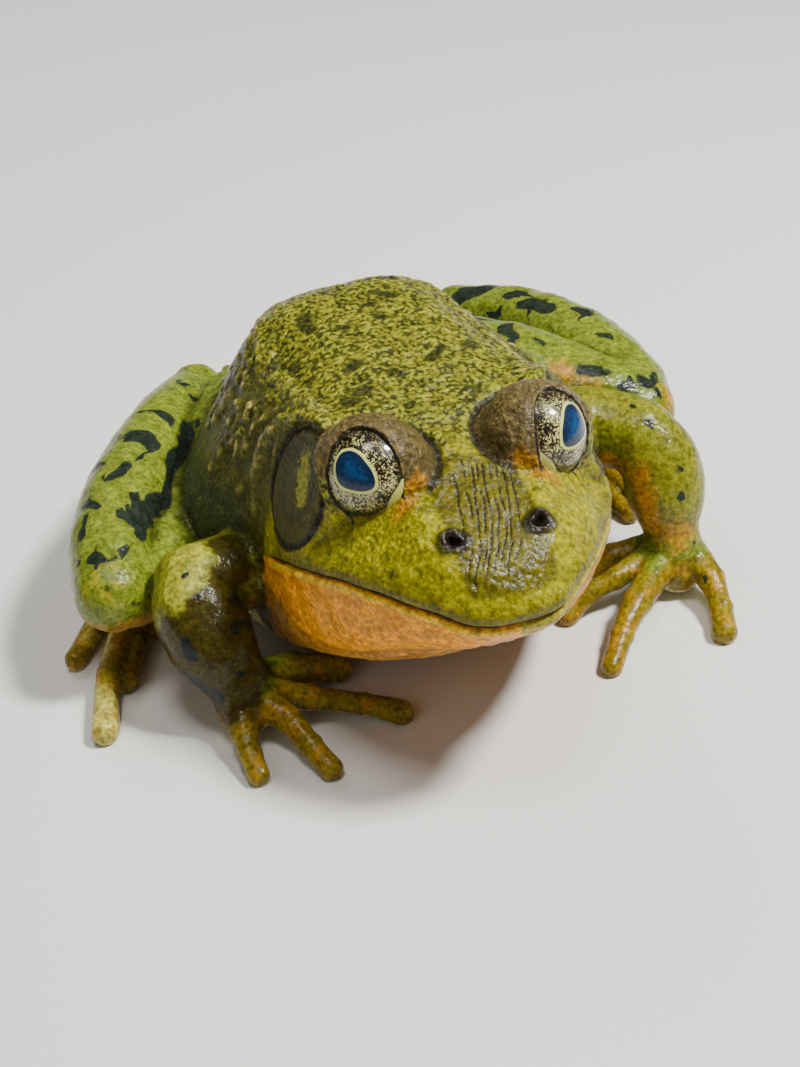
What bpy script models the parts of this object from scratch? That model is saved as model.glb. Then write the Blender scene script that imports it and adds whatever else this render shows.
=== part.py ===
"""Green frog, an adult male sitting at rest: a still, life-size model.

Frame: the frog faces -Y, its left side is +X and +Z is up.  Lengths below are millimetres.
The origin ends up on the floor, under the middle of the model's box.
"""
import math

import bmesh
import bpy
import numpy as np
from mathutils import Matrix, Vector

# ---------------------------------------------------------------- driving dimensions
MM = 0.001
GAP = 0.3                   # clearance left between two pieces that touch
NECK_Y = -9.5               # the head ends and the trunk begins behind the ear discs
HEAD_TURN = 4.5             # degrees that the snout is turned to the frog's right
TURN_CENTRE = (0, -32)      # (x, y) of the upright axis of that turn
TURN_FROM, TURN_TO = 12, -12    # the turn starts at the first station y and is full at the second

# The mouth line seen from the side, as (y, z) from the neck to the front of the snout: low at
# the corner, arched along the cheek and dipping a little under the snout.
MOUTH_LINE = ((-4.0, 13.6), (-17.6, 19.3), (-23.0, 21.9), (-28.5, 24.0), (-34.0, 25.4), (-39.5, 25.9),
              (-43.5, 25.4), (-46.6, 24.5), (-52.0, 23.4))

EYE_CENTRE = (9.5, -26.5, 34.1)    # left eye; the right one mirrors it
EYE_RADIUS = 5.6
EYE_OPENING_AXIS = (0.46, -0.84, 0.28)  # outward through the middle of the opening of the lids
LID_THICKNESS = 0.8
OPENING_HALF = (5.3, 4.4)           # half height and half width of the opening between the lids
OPENING_SETBACK = 1.4               # the cut between the lids starts this far out from the centre

EAR_CENTRE = (17.0, -19.9, 29.7)    # left ear disc
EAR_NORMAL = (0.9, -0.06, 0.43)
EAR_RADIUS = 6.7
EAR_THICKNESS = 1.6

BELLY_DIP = -0.5            # soft undersides are modelled this low, then cut flat at the floor
FAR = 80                    # cutters reach this far, well past the model

# Cross-sections of head and trunk, from snout to vent.  Each row has its station y, the height
# of the back, five (x, z) points down the left side (back, upper edge, side, widest point and
# underside) and the height of the belly.
SECTIONS = (
    (-46.8, 26.0, (0.9, 26.0), (1.6, 25.7), (2.2, 25.1), (2.4, 24.4), (1.6, 23.6), 23.4),
    (-45.9, 28.0, (1.9, 27.9), (3.6, 27.3), (4.9, 26.1), (5.2, 24.4), (4.0, 22.6), 22.0),
    (-43.8, 29.9, (2.8, 29.8), (5.1, 29.1), (7.1, 27.1), (7.7, 24.4), (6.0, 21.0), 20.2),
    (-40.5, 31.5, (3.8, 31.4), (6.9, 30.9), (10.1, 28.0), (11.0, 24.4), (8.8, 19.0), 17.6),
    (-35.5, 33.3, (4.4, 33.2), (7.8, 33.0), (12.9, 29.2), (14.8, 23.6), (12.8, 15.4), 14.0),
    (-29.0, 35.0, (4.6, 35.0), (8.6, 35.2), (15.4, 30.0), (18.2, 22.4), (15.6, 11.6), 10.8),
    (-23.0, 36.0, (5.6, 36.0), (10.6, 35.6), (16.9, 29.8), (19.8, 20.8), (17.6, 8.8), 8.4),
    (-17.0, 36.8, (6.6, 36.8), (12.0, 35.8), (17.2, 29.8), (20.4, 18.8), (18.6, 5.6), 5.2),
    (-10.0, 37.5, (7.0, 37.3), (12.8, 35.0), (18.2, 29.4), (21.8, 17.8), (19.8, 3.0), 2.8),
    (-3.0, 38.1, (7.0, 37.7), (13.2, 34.2), (19.4, 28.4), (24.6, 16.4), (21.6, 2.0), 1.8),
    (4.0, 38.2, (6.8, 37.9), (12.8, 34.6), (19.2, 27.6), (25.8, 15.2), (22.8, 1.6), 0.9),
    (12.0, 37.4, (6.2, 37.2), (11.2, 35.2), (17.4, 26.8), (24.2, 14.4), (20.8, 3.0), 0.2),
    (19.0, 33.6, (5.4, 33.4), (10.0, 31.0), (15.6, 23.4), (19.8, 13.4), (16.2, 1.8), BELLY_DIP),
    (26.0, 27.0, (4.6, 26.8), (8.2, 25.0), (12.4, 19.6), (14.8, 11.5), (11.4, 1.8), BELLY_DIP),
    (32.0, 19.0, (3.0, 18.8), (5.4, 17.4), (8.0, 14.5), (9.0, 9.8), (7.0, 4.0), 2.0),
)
RUMP_SHIFT = 1.6            # the rump lies this far to the left of the line of the front body
THROAT_SLACK = 3.4          # the slack throat hangs to the right: its left side is drawn in this far

# The skin fold along each side of the back, as (x, y, z, radius) on the left.
BACK_FOLD = ((12.1, -17.0, 36.0, 0.9), (12.8, -10.0, 34.6, 1.1), (13.3, -3.0, 33.5, 1.1),
             (12.8, 4.0, 34.0, 1.1), (11.2, 12.0, 34.5, 1.0), (9.7, 18.0, 31.3, 0.7))
# The fold that leaves the eye, arches over the ear disc and drops behind it.
EAR_FOLD = ((12.4, -21.5, 36.1, 0.7), (13.4, -17.0, 36.0, 1.0), (15.4, -12.4, 33.9, 1.1),
            (18.2, -10.2, 30.2, 1.1), (19.6, -10.2, 26.2, 1.0), (20.4, -11.2, 22.0, 0.6))

# Limb segments, each a run of (x, y, z, radius) from the body outwards.
LEFT_ARM = {
    "upper_arm": ((14, -4, 17.4, 6.0), (23, -5, 19.0, 5.6), (28.6, -7, 19.2, 5.1), (32, -11, 19.2, 4.7)),
    "forearm": ((32, -11, 19.2, 4.7), (33.6, -13.4, 16, 5.1), (33.6, -15.4, 11.8, 4.9),
                (33.4, -17, 7.6, 3.4)),
}
RIGHT_ARM = {
    "upper_arm": ((-14, -5, 12.4, 5.6), (-21, -8, 13.2, 5.1), (-27.8, -10.4, 14.8, 4.7)),
    "forearm": ((-27.8, -10.4, 14.8, 4.7), (-28.3, -13.2, 12.8, 5.4), (-27.4, -16.8, 9.2, 5.2),
                (-26, -20, 5.8, 3.7)),
}
LEFT_LEG = {
    "thigh": ((7, 26, 15, 7.4), (14, 20, 17.6, 8.4), (23.4, 10, 19, 7.8), (32, 0, 18.8, 5.8),
              (36, -3.6, 18.2, 4.6)),
    "shank": ((36, -3.6, 18.2, 4.6), (37.2, 3.6, 18.3, 5.2), (36.2, 14.6, 18.7, 5.5),
              (33, 26.8, 18, 4.8), (27, 37, 16.4, 3.9)),
    "ankle": ((27, 37, 16.4, 3.8), (29.4, 31.5, 10, 3.0), (30.8, 24.5, 4.6, 2.9)),
}
RIGHT_LEG = {
    "thigh": ((-7, 27, 14, 7.4), (-14, 20, 12.6, 7.6), (-22, 11, 11.0, 6.4), (-31, -0.4, 10.6, 5.2),
              (-36.6, -5.6, 13.0, 4.8)),
    "shank": ((-36.6, -5.6, 13.3, 4.8), (-34.2, 3.0, 15.0, 5.3), (-28.6, 13.2, 16.0, 5.4),
              (-21.2, 25.0, 15.8, 4.8), (-13.8, 35.4, 14.4, 3.8)),
    "ankle": ((-13.8, 35.4, 14.6, 3.8), (-18.6, 28.4, 9, 3.0), (-24, 20, 4.6, 2.9)),
}

# Fingers and toes, first to last, each (x, y, z, radius) from its root to its tip.
LEFT_FINGERS = (
    ((32, -15.4, 4.6, 2.2), (27, -13.6, 3.4, 1.8), (21.6, -12.6, 1.6, 1.5)),
    ((31.6, -17, 4.8, 2.0), (24.6, -18.6, 4.0, 1.4), (20.4, -18.7, 2.6, 1.3), (17.6, -19.4, 1.0, 1.4)),
    ((32, -18.4, 4.6, 2.2), (25, -24, 3.8, 1.8), (21, -27.6, 2.4, 1.4), (17.8, -31, 0.9, 1.4)),
    ((35.4, -18.4, 4.8, 2.3), (35.8, -23.4, 3.6, 1.7), (34.8, -27.6, 2.0, 1.5), (33.4, -31, 1.1, 1.7)),
)
RIGHT_FINGERS = (
    ((-24.6, -19, 5.0, 2.3), (-18.6, -17.8, 3.8, 2.0), (-13, -17.6, 1.8, 1.8)),
    ((-23.4, -21.6, 4.6, 2.1), (-18.4, -23, 3.2, 1.5), (-12.6, -25.6, 2.0, 1.3), (-8.8, -28, 1.1, 1.6)),
    ((-24.2, -22.6, 4.2, 2.2), (-22, -26, 3.2, 1.6), (-20.8, -30, 2.0, 1.4), (-19.7, -33.6, 0.9, 1.5)),
    ((-26.6, -22, 4.2, 2.1), (-27.4, -25.6, 2.8, 1.6), (-27.6, -28.4, 1.8, 1.4), (-27.6, -31, 0.9, 1.4)),
)
LEFT_TOES = (
    ((29.2, 21.5, 3.6, 2.0), (28, 14, 2.4, 1.4), (27, 7.5, 1.0, 1.2)),
    ((30, 20.6, 3.6, 2.0), (30.6, 11, 2.2, 1.5), (31.4, 3, 1.0, 1.2)),
    ((30.8, 20, 3.6, 2.2), (33.4, 9, 2.2, 1.6), (35.4, -2.4, 1.0, 1.3)),
    ((31.6, 20, 3.6, 2.2), (36.2, 8, 2.2, 1.7), (39, -1, 1.8, 1.5), (40, -8, 1.0, 1.4)),
    ((32.2, 21, 3.6, 2.1), (37.2, 13, 2.2, 1.6), (41.6, 4, 1.0, 1.3)),
)
RIGHT_TOES = (
    ((-22.6, 17.5, 3.6, 2.0), (-24.6, 11, 2.4, 1.4), (-26.6, 5, 1.0, 1.2)),
    ((-23.6, 17, 3.6, 2.0), (-27.4, 9, 2.2, 1.5), (-31, 1, 1.0, 1.2)),
    ((-24.4, 17, 3.6, 2.2), (-30.8, 6, 2.2, 1.6), (-37.2, -7.6, 1.1, 1.5)),
    ((-25.2, 17.2, 3.6, 2.2), (-33, 5, 2.4, 1.8), (-39, -7, 2.2, 1.6), (-42, -16, 1.2, 1.7)),
    ((-25.4, 18.4, 3.6, 2.1), (-34, 10, 2.2, 1.6), (-42, -0.5, 1.1, 1.4)),
)
KNUCKLE = 1.12              # a joint of a finger or toe is this much thicker than the digit there
WEB_RADIUS = 0.55           # half the thickness of the web, plus what smoothing takes off
WEB_REACH = 0.72            # the web fills the gap between toes out to this share of their length
WEB_SCALLOP = 0.16          # its free edge is drawn back by this share of its length

# Mesh fineness: voxel size, smoothing passes and triangles of each kind of node.
BODY_MESH = (0.6, 8, 1750)
UPPER_ARM_MESH = (0.5, 6, 140)
FOREARM_MESH = (0.5, 6, 200)
THIGH_MESH = (0.6, 8, 190)
SHANK_MESH = (0.5, 6, 210)
ANKLE_MESH = (0.4, 4, 120)
HAND_MESH = (0.3, 3, 370)
FOOT_MESH = (0.3, 3, 430)

# Base colours as sRGB hex, roughness and metallic value.
FINISHES = {
    "olive_skin": ("6F7A22", 0.45, 0.0),
    "yellow_throat": ("D19A1B", 0.45, 0.0),
    "leg_skin": ("7C8A38", 0.4, 0.0),
    "finger_skin": ("8F8340", 0.35, 0.0),
    "ear_skin": ("4A4128", 0.5, 0.0),
    "gold_eye": ("8C7634", 0.1, 0.0),
}


# ---------------------------------------------------------------- scene and finishes
def empty_scene():
    """Remove every object that the file starts with."""
    for obj in list(bpy.data.objects):
        bpy.data.objects.remove(obj, do_unlink=True)


def new_collection(name):
    """Make a collection in the scene."""
    collection = bpy.data.collections.new(name)
    bpy.context.scene.collection.children.link(collection)
    return collection


def linear(channel):
    """Linear value of one sRGB channel."""
    return channel / 12.92 if channel <= 0.04045 else ((channel + 0.055) / 1.055) ** 2.4


def finish(node, kind):
    """Give a node a Principled material of its own."""
    hex_colour, roughness, metallic = FINISHES[kind]
    material = bpy.data.materials.new(f"{node.name}_{kind}")
    material.use_nodes = True
    shader = material.node_tree.nodes["Principled BSDF"]
    rgb = [linear(int(hex_colour[i:i + 2], 16) / 255) for i in (0, 2, 4)]
    shader.inputs["Base Color"].default_value = (*rgb, 1)
    shader.inputs["Roughness"].default_value = roughness
    shader.inputs["Metallic"].default_value = metallic
    node.data.materials.clear()
    node.data.materials.append(material)


# ---------------------------------------------------------------- shape helpers
def through(points, steps):
    """Points of a smooth curve through the given ones, steps of them to each span."""
    p = np.array(points, float)
    p = np.vstack((2 * p[0] - p[1], p, 2 * p[-1] - p[-2]))
    run = []
    for a, b, c, d in zip(p, p[1:], p[2:], p[3:]):
        for t in np.arange(steps) / steps:
            run.append(0.5 * (2 * b + (c - a) * t + (2 * a - 5 * b + 4 * c - d) * t ** 2
                              + (3 * b - a - 3 * c + d) * t ** 3))
    run.append(p[-2])
    return run


def around(points, steps):
    """Points of a smooth closed curve through the given ones."""
    count = len(points)
    run = through([points[i % count] for i in range(-1, count + 2)], steps)
    return run[steps:-steps - 1]


def mesh_object(name, bm, collection):
    """Put a bmesh into a new object."""
    mesh = bpy.data.meshes.new(name)
    bm.to_mesh(mesh)
    bm.free()
    obj = bpy.data.objects.new(name, mesh)
    collection.objects.link(obj)
    return obj


def baked(obj):
    """Replace an object's mesh by its evaluated one, and drop its modifiers."""
    bpy.context.view_layer.update()
    result = bpy.data.meshes.new_from_object(obj.evaluated_get(bpy.context.evaluated_depsgraph_get()))
    obj.modifiers.clear()
    obj.data = result
    return obj


def turned(points):
    """Points (x, y, z, ...) of the straight body, turned with the head as far as they lie forward."""
    result = np.array(points, float)
    share = np.clip((TURN_FROM - result[..., 1]) / (TURN_FROM - TURN_TO), 0, 1)
    angle = np.radians(HEAD_TURN) * share * share * (3 - 2 * share)
    x = result[..., 0] - TURN_CENTRE[0]
    y = result[..., 1] - TURN_CENTRE[1]
    result[..., 0] = TURN_CENTRE[0] + x * np.cos(angle) + y * np.sin(angle)
    result[..., 1] = TURN_CENTRE[1] + y * np.cos(angle) - x * np.sin(angle)
    return result


def turned_direction(direction):
    """A direction on the head, turned with it."""
    return Matrix.Rotation(-math.radians(HEAD_TURN), 3, "Z") @ Vector(direction)


def ramp(low, high, value):
    """Smooth step from 0 at low to 1 at high; low may be the larger one."""
    t = min(max((value - low) / (high - low), 0), 1)
    return t * t * (3 - 2 * t)


def rump_shift(y):
    """How far the body's middle lies to the left at a station."""
    return RUMP_SHIFT * ramp(-2, 14, y)


def sideways(x, y, z):
    """How far a section's point is moved to the left: the rump is off line, the throat slack."""
    mouth = np.interp(y, *np.array(MOUTH_LINE[::-1]).T)
    slack = THROAT_SLACK * ramp(0.5, -7, z - mouth) * ramp(-8, -22, y) * min(max(x, 0) / 9, 1)
    return rump_shift(y) - slack


def section_ring(section):
    """Whole closed outline of one cross-section of the body."""
    y, top, *side, bottom = section
    left = [(x, y, z) for x, z in side]
    right = [(-x, y, z) for x, z in reversed(side)]
    outline = [(0, y, top), *left, (0, y, bottom), *right]
    return [(x + sideways(x, y, z), y, z) for x, y, z in outline]


def body_loft(collection):
    """Closed loft of the head and trunk through all the sections."""
    rings = [np.array(around(section_ring(s), 3)) for s in SECTIONS]
    rings = through([r.ravel() for r in rings], 3)
    bm = bmesh.new()
    loops = [[bm.verts.new(Vector(p) * MM) for p in turned(ring.reshape(-1, 3))] for ring in rings]
    for near, far in zip(loops, loops[1:]):
        for i in range(len(near)):
            bm.faces.new((near[i - 1], near[i], far[i], far[i - 1]))
    bm.faces.new(loops[0][::-1])
    bm.faces.new(loops[-1])
    bmesh.ops.recalc_face_normals(bm, faces=bm.faces)
    return mesh_object("body_loft", bm, collection)


def ball(name, centre, radius, collection, subdivisions=3):
    """Ball round a centre."""
    bm = bmesh.new()
    bmesh.ops.create_icosphere(bm, subdivisions=subdivisions, radius=radius * MM)
    bmesh.ops.translate(bm, vec=Vector(centre) * MM, verts=bm.verts)
    return mesh_object(name, bm, collection)


def globe(name, centre, radius, collection):
    """Ball of rings and meridians, which nests in a larger one like it."""
    bm = bmesh.new()
    bmesh.ops.create_uvsphere(bm, u_segments=16, v_segments=8, radius=radius * MM)
    bmesh.ops.translate(bm, vec=Vector(centre) * MM, verts=bm.verts)
    return mesh_object(name, bm, collection)


def disc(name, centre, radius, thickness, turn, collection):
    """Lens-shaped disc, thickest in the middle, its flat way along the turn's +Z."""
    bm = bmesh.new()
    bmesh.ops.create_uvsphere(bm, u_segments=24, v_segments=5, radius=MM)
    place = (Matrix.Translation(Vector(centre) * MM) @ turn.to_4x4()
             @ Matrix.Diagonal((radius, radius, thickness / 2, 1)))
    bmesh.ops.transform(bm, matrix=place, verts=bm.verts)
    return mesh_object(name, bm, collection)


def tube(path, collection, steps=5):
    """Tapered round tube through (x, y, z, radius) points, with a ball on both ends."""
    curve = bpy.data.curves.new("tube", "CURVE")
    curve.dimensions = "3D"
    curve.bevel_depth = MM
    curve.bevel_resolution = 5
    curve.use_fill_caps = True
    run = through(path, steps)
    spline = curve.splines.new("POLY")
    spline.points.add(len(run) - 1)
    for point, (x, y, z, radius) in zip(spline.points, run):
        point.co = (x * MM, y * MM, z * MM, 1)
        point.radius = radius
    source = bpy.data.objects.new("tube_curve", curve)
    collection.objects.link(source)
    bpy.context.view_layer.update()
    mesh = bpy.data.meshes.new_from_object(source.evaluated_get(bpy.context.evaluated_depsgraph_get()))
    bpy.data.objects.remove(source)
    bm = bmesh.new()
    bm.from_mesh(mesh)
    bmesh.ops.remove_doubles(bm, verts=bm.verts, dist=0.01 * MM)
    pieces = [mesh_object("tube", bm, collection)]
    for *centre, radius in (path[0], path[-1]):
        pieces.append(ball("end", centre, radius, collection))
    return pieces


def web(toe, other, collection):
    """Thin skin between two toes, scalloped at its free edge."""
    steps = 8
    near = through(toe, steps)
    far = through(other, steps)
    last = int(WEB_REACH * (min(len(near), len(far)) - 1))
    bm = bmesh.new()
    rows = []
    for i in range(last + 1):
        a, b = Vector(near[i][:3]), Vector(far[i][:3])
        middle = (a + b) / 2
        middle += (Vector(near[0][:3]) - middle) * WEB_SCALLOP * i / last
        rows.append([bm.verts.new(p * MM) for p in (a, middle, b)])
    for low, high in zip(rows, rows[1:]):
        for k in (0, 1):
            bm.faces.new((low[k], low[k + 1], high[k + 1], high[k]))
    bmesh.ops.recalc_face_normals(bm, faces=bm.faces)
    sheet = mesh_object("web", bm, collection)
    thicken = sheet.modifiers.new("thickness", "SOLIDIFY")
    thicken.thickness = 2 * WEB_RADIUS * MM
    thicken.offset = 0
    return baked(sheet)


def fuse(name, pieces, fineness, collection):
    """Join overlapping pieces into one smooth closed solid."""
    voxel, smoothing, triangles = fineness
    bm = bmesh.new()
    for piece in pieces:
        bm.from_mesh(piece.data)
        bpy.data.objects.remove(piece)
    solid = mesh_object(name, bm, collection)
    remesh = solid.modifiers.new("one_surface", "REMESH")
    remesh.mode = "VOXEL"
    remesh.voxel_size = voxel * MM
    smooth = solid.modifiers.new("smooth", "SMOOTH")
    smooth.factor = 0.5
    smooth.iterations = smoothing
    baked(solid)
    solid.data.calc_loop_triangles()
    fewer = solid.modifiers.new("fewer_faces", "DECIMATE")
    fewer.ratio = triangles / len(solid.data.loop_triangles)
    return baked(solid)


def box(low, high, collection):
    """Box cutter between two corners."""
    size = Vector(high) - Vector(low)
    bm = bmesh.new()
    bmesh.ops.create_cube(bm, size=MM)
    bmesh.ops.scale(bm, vec=size, verts=bm.verts)
    bmesh.ops.translate(bm, vec=(Vector(low) + size / 2) * MM, verts=bm.verts)
    return mesh_object("box_cutter", bm, collection)


def largest_island(obj):
    """Keep only the largest connected piece of a mesh, and drop slivers that a cut left."""
    bm = bmesh.new()
    bm.from_mesh(obj.data)
    bmesh.ops.dissolve_degenerate(bm, dist=0.02 * MM, edges=bm.edges)
    left = set(bm.verts)
    islands = []
    while left:
        island = {left.pop()}
        front = list(island)
        while front:
            for edge in front.pop().link_edges:
                for vert in edge.verts:
                    if vert in left:
                        left.remove(vert)
                        island.add(vert)
                        front.append(vert)
        islands.append(island)
    islands.sort(key=len)
    bmesh.ops.delete(bm, geom=[v for island in islands[:-1] for v in island], context="VERTS")
    bmesh.ops.triangulate(bm, faces=bm.faces)
    bm.to_mesh(obj.data)
    bm.free()
    return obj


def cut(solid, cutter):
    """Take a cutter away from a solid."""
    cutter.hide_render = True
    cutter.display_type = "WIRE"
    boolean = solid.modifiers.new("cut", "BOOLEAN")
    boolean.operation = "DIFFERENCE"
    boolean.solver = "EXACT"
    boolean.object = cutter
    return largest_island(baked(solid))


def grown(solid, cutters):
    """Cutter larger than a solid by the gap."""
    cutter = bpy.data.objects.new(f"{solid.name}_grown", solid.data.copy())
    cutters.objects.link(cutter)
    bulge = cutter.modifiers.new("bulge", "DISPLACE")
    bulge.strength = GAP * MM
    bulge.mid_level = 0
    return baked(cutter)


def mirrored(point, side):
    """A point or direction of the left side, taken to the given side."""
    return (point[0] * side, *point[1:])


def facing(normal, up=(0, 0, 1)):
    """Turn that takes +Z to a normal and keeps +Y as near as it can to an up direction."""
    z = Vector(normal).normalized()
    x = Vector(up).cross(z).normalized()
    return Matrix((x, z.cross(x), z)).transposed()


# ---------------------------------------------------------------- head and trunk
def mouth_cutter(line, reach, collection):
    """Wall along the mouth line, carried up (or down, where reach is negative) past the head."""
    outline = [Vector((-FAR, y, z)) for y, z in through(line, 4)]
    ends = [Vector((-FAR, p.y, reach)) for p in (outline[-1], outline[0])]
    bm = bmesh.new()
    face = bm.faces.new([bm.verts.new(p * MM) for p in outline + ends])
    side = bmesh.ops.extrude_face_region(bm, geom=[face])["geom"]
    moved = [v for v in side if isinstance(v, bmesh.types.BMVert)]
    bmesh.ops.translate(bm, vec=(2 * FAR * MM, 0, 0), verts=moved)
    middle = Vector((*TURN_CENTRE, 0)) * MM
    bmesh.ops.rotate(bm, cent=middle, matrix=Matrix.Rotation(-math.radians(HEAD_TURN), 3, "Z"),
                     verts=bm.verts)
    bmesh.ops.recalc_face_normals(bm, faces=bm.faces)
    return mesh_object("mouth_cutter", bm, collection)


def make_body(parts, cutters):
    """Head, lower jaw and trunk, made as one form and parted with thin cuts."""
    pieces = [body_loft(cutters)]
    for side in (1, -1):
        lid = EYE_RADIUS + LID_THICKNESS
        centre = turned(mirrored(EYE_CENTRE, side))
        pieces.append(ball("lid", centre, lid, cutters, subdivisions=5))
        for fold in (BACK_FOLD, EAR_FOLD):
            path = [mirrored(p, side) for p in fold]
            path = [(x + rump_shift(y), y, z, radius) for x, y, z, radius in path]
            pieces += tube(turned(path), cutters)
    body = fuse("body", pieces, BODY_MESH, parts)
    cut(body, box((-FAR, -FAR, -FAR), (FAR, FAR, 0), cutters))

    head = bpy.data.objects.new("head", body.data.copy())
    parts.objects.link(head)
    cut(head, box((-FAR, NECK_Y, -FAR), (FAR, FAR, FAR), cutters))
    body.name = "trunk"
    cut(body, box((-FAR, -FAR, -FAR), (FAR, NECK_Y + GAP, FAR), cutters))

    jaw = bpy.data.objects.new("lower_jaw", head.data.copy())
    parts.objects.link(jaw)
    cut(jaw, mouth_cutter(MOUTH_LINE, FAR, cutters))
    cut(head, mouth_cutter([(y, z + GAP) for y, z in MOUTH_LINE], -FAR, cutters))
    return head, jaw, body


def make_eye(side, head, parts, cutters):
    """One eyeball in its socket, with the lids open round it."""
    name = "eye_left" if side > 0 else "eye_right"
    centre = Vector(turned(mirrored(EYE_CENTRE, side)))
    axis = turned_direction(mirrored(EYE_OPENING_AXIS, side)).normalized()
    eye = globe(name, centre, EYE_RADIUS, parts)
    bm = bmesh.new()
    bmesh.ops.create_cone(bm, cap_ends=True, segments=32, radius1=MM, radius2=MM, depth=MM)
    depth = 2 * EYE_RADIUS
    half_height, half_width = OPENING_HALF
    start = centre + axis * (OPENING_SETBACK + depth / 2)
    place = (Matrix.Translation(start * MM) @ facing(axis).to_4x4()
             @ Matrix.Diagonal((half_width, half_height, depth, 1)))
    bmesh.ops.transform(bm, matrix=place, verts=bm.verts)
    cut(head, mesh_object("lid_opening", bm, cutters))
    cut(head, globe("socket", centre, EYE_RADIUS + GAP, cutters))
    finish(eye, "gold_eye")
    return eye


def make_ear(side, head, parts, cutters):
    """One ear disc, let into the side of the head."""
    name = "tympanum_left" if side > 0 else "tympanum_right"
    turn = facing(turned_direction(mirrored(EAR_NORMAL, side)))
    centre = turned(mirrored(EAR_CENTRE, side))
    cut(head, disc("ear_recess", centre, EAR_RADIUS + GAP, EAR_THICKNESS + 2 * GAP, turn, cutters))
    ear = disc(name, centre, EAR_RADIUS, EAR_THICKNESS, turn, parts)
    finish(ear, "ear_skin")
    return ear


# ---------------------------------------------------------------- limbs
def clear_of(solid, neighbours, cutters):
    """Take the neighbours, and the gap round them, away from a solid."""
    for neighbour in neighbours:
        cut(solid, grown(neighbour, cutters))
    return solid


def make_segment(name, path, fineness, neighbours, kind, parts, cutters):
    """One tapered limb segment, cut back to its neighbours."""
    node = fuse(name, tube(path, cutters), fineness, parts)
    clear_of(node, neighbours, cutters)
    finish(node, kind)
    return node


def make_digits(name, root, digits, webbed, fineness, neighbours, parts, cutters):
    """A hand or foot: its pad, its digits with their knuckles, and the web between toes."""
    pieces = tube(root, cutters)
    for digit in digits:
        pieces += tube(digit, cutters)
        for *centre, radius in digit[1:-1]:
            pieces.append(ball("knuckle", centre, radius * KNUCKLE, cutters))
    if webbed:
        pieces += [web(a, b, cutters) for a, b in zip(digits, digits[1:])]
    node = fuse(name, pieces, fineness, parts)
    cut(node, box((-FAR, -FAR, -FAR), (FAR, FAR, 0), cutters))
    clear_of(node, neighbours, cutters)
    finish(node, "finger_skin")
    return node


def make_arm(suffix, arm, fingers, body, parts, cutters):
    """Upper arm, forearm and hand of one side."""
    upper = make_segment(f"upper_arm_{suffix}", arm["upper_arm"], UPPER_ARM_MESH, body, "leg_skin",
                         parts, cutters)
    fore = make_segment(f"forearm_{suffix}", arm["forearm"], FOREARM_MESH, [upper, *body],
                        "leg_skin", parts, cutters)
    wrist = arm["forearm"][-1]
    palm = (wrist, (wrist[0], wrist[1] - 1.6, 3.2, 3.4))
    hand = make_digits(f"hand_{suffix}", palm, fingers, False, HAND_MESH, [fore], parts, cutters)
    return [upper, fore, hand]


def make_leg(suffix, leg, toes, body, parts, cutters):
    """Thigh, shank, ankle and foot of one side."""
    trunk = body[0]
    thigh = make_segment(f"thigh_{suffix}", leg["thigh"], THIGH_MESH, body, "leg_skin", parts, cutters)
    shank = make_segment(f"shank_{suffix}", leg["shank"], SHANK_MESH, [*body, thigh], "leg_skin",
                         parts, cutters)
    ankle = make_segment(f"ankle_{suffix}", leg["ankle"], ANKLE_MESH, [trunk, thigh, shank],
                         "leg_skin", parts, cutters)
    joint = leg["ankle"][-1]
    heel = (joint, (joint[0] + math.copysign(1, joint[0]), joint[1] - 3, 3.2, 2.7))
    foot = make_digits(f"foot_{suffix}", heel, toes, True, FOOT_MESH, [trunk, thigh, shank, ankle],
                       parts, cutters)
    return [thigh, shank, ankle, foot]


# ---------------------------------------------------------------- whole model
def centre_on_floor(nodes):
    """Move all the meshes so that the origin is under the middle of the box."""
    corners = np.array([v.co for node in nodes for v in node.data.vertices])
    low, high = corners.min(0), corners.max(0)
    shift = Matrix.Translation((-(low[0] + high[0]) / 2, -(low[1] + high[1]) / 2, -low[2]))
    for node in nodes:
        node.data.transform(shift)
        node.data.shade_smooth()
        node.data.set_sharp_from_angle(angle=math.radians(50))


def main():
    """Build the frog's nodes."""
    empty_scene()
    parts = new_collection("green_frog")
    cutters = new_collection("cutters")
    head, jaw, trunk = make_body(parts, cutters)
    nodes = [head, jaw, trunk]
    for side in (1, -1):
        nodes.append(make_eye(side, head, parts, cutters))
        nodes.append(make_ear(side, head, parts, cutters))
    finish(head, "olive_skin")
    finish(jaw, "yellow_throat")
    finish(trunk, "olive_skin")
    for suffix, arm, fingers, leg, toes in (("left", LEFT_ARM, LEFT_FINGERS, LEFT_LEG, LEFT_TOES),
                                            ("right", RIGHT_ARM, RIGHT_FINGERS, RIGHT_LEG, RIGHT_TOES)):
        front = make_arm(suffix, arm, fingers, [trunk, head, jaw], parts, cutters)
        nodes += front
        nodes += make_leg(suffix, leg, toes, [trunk, front[0], front[1]], parts, cutters)
    centre_on_floor(nodes)


if __name__ == "__main__":
    main()
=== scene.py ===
"""Green frog, an adult male at rest: the look of the model, built round its solids."""
import math

import bmesh
import bpy
import numpy as np
from bpy.props import FloatProperty, FloatVectorProperty, IntProperty, PointerProperty
from mathutils import Matrix, Vector
from mathutils.bvhtree import BVHTree


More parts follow.
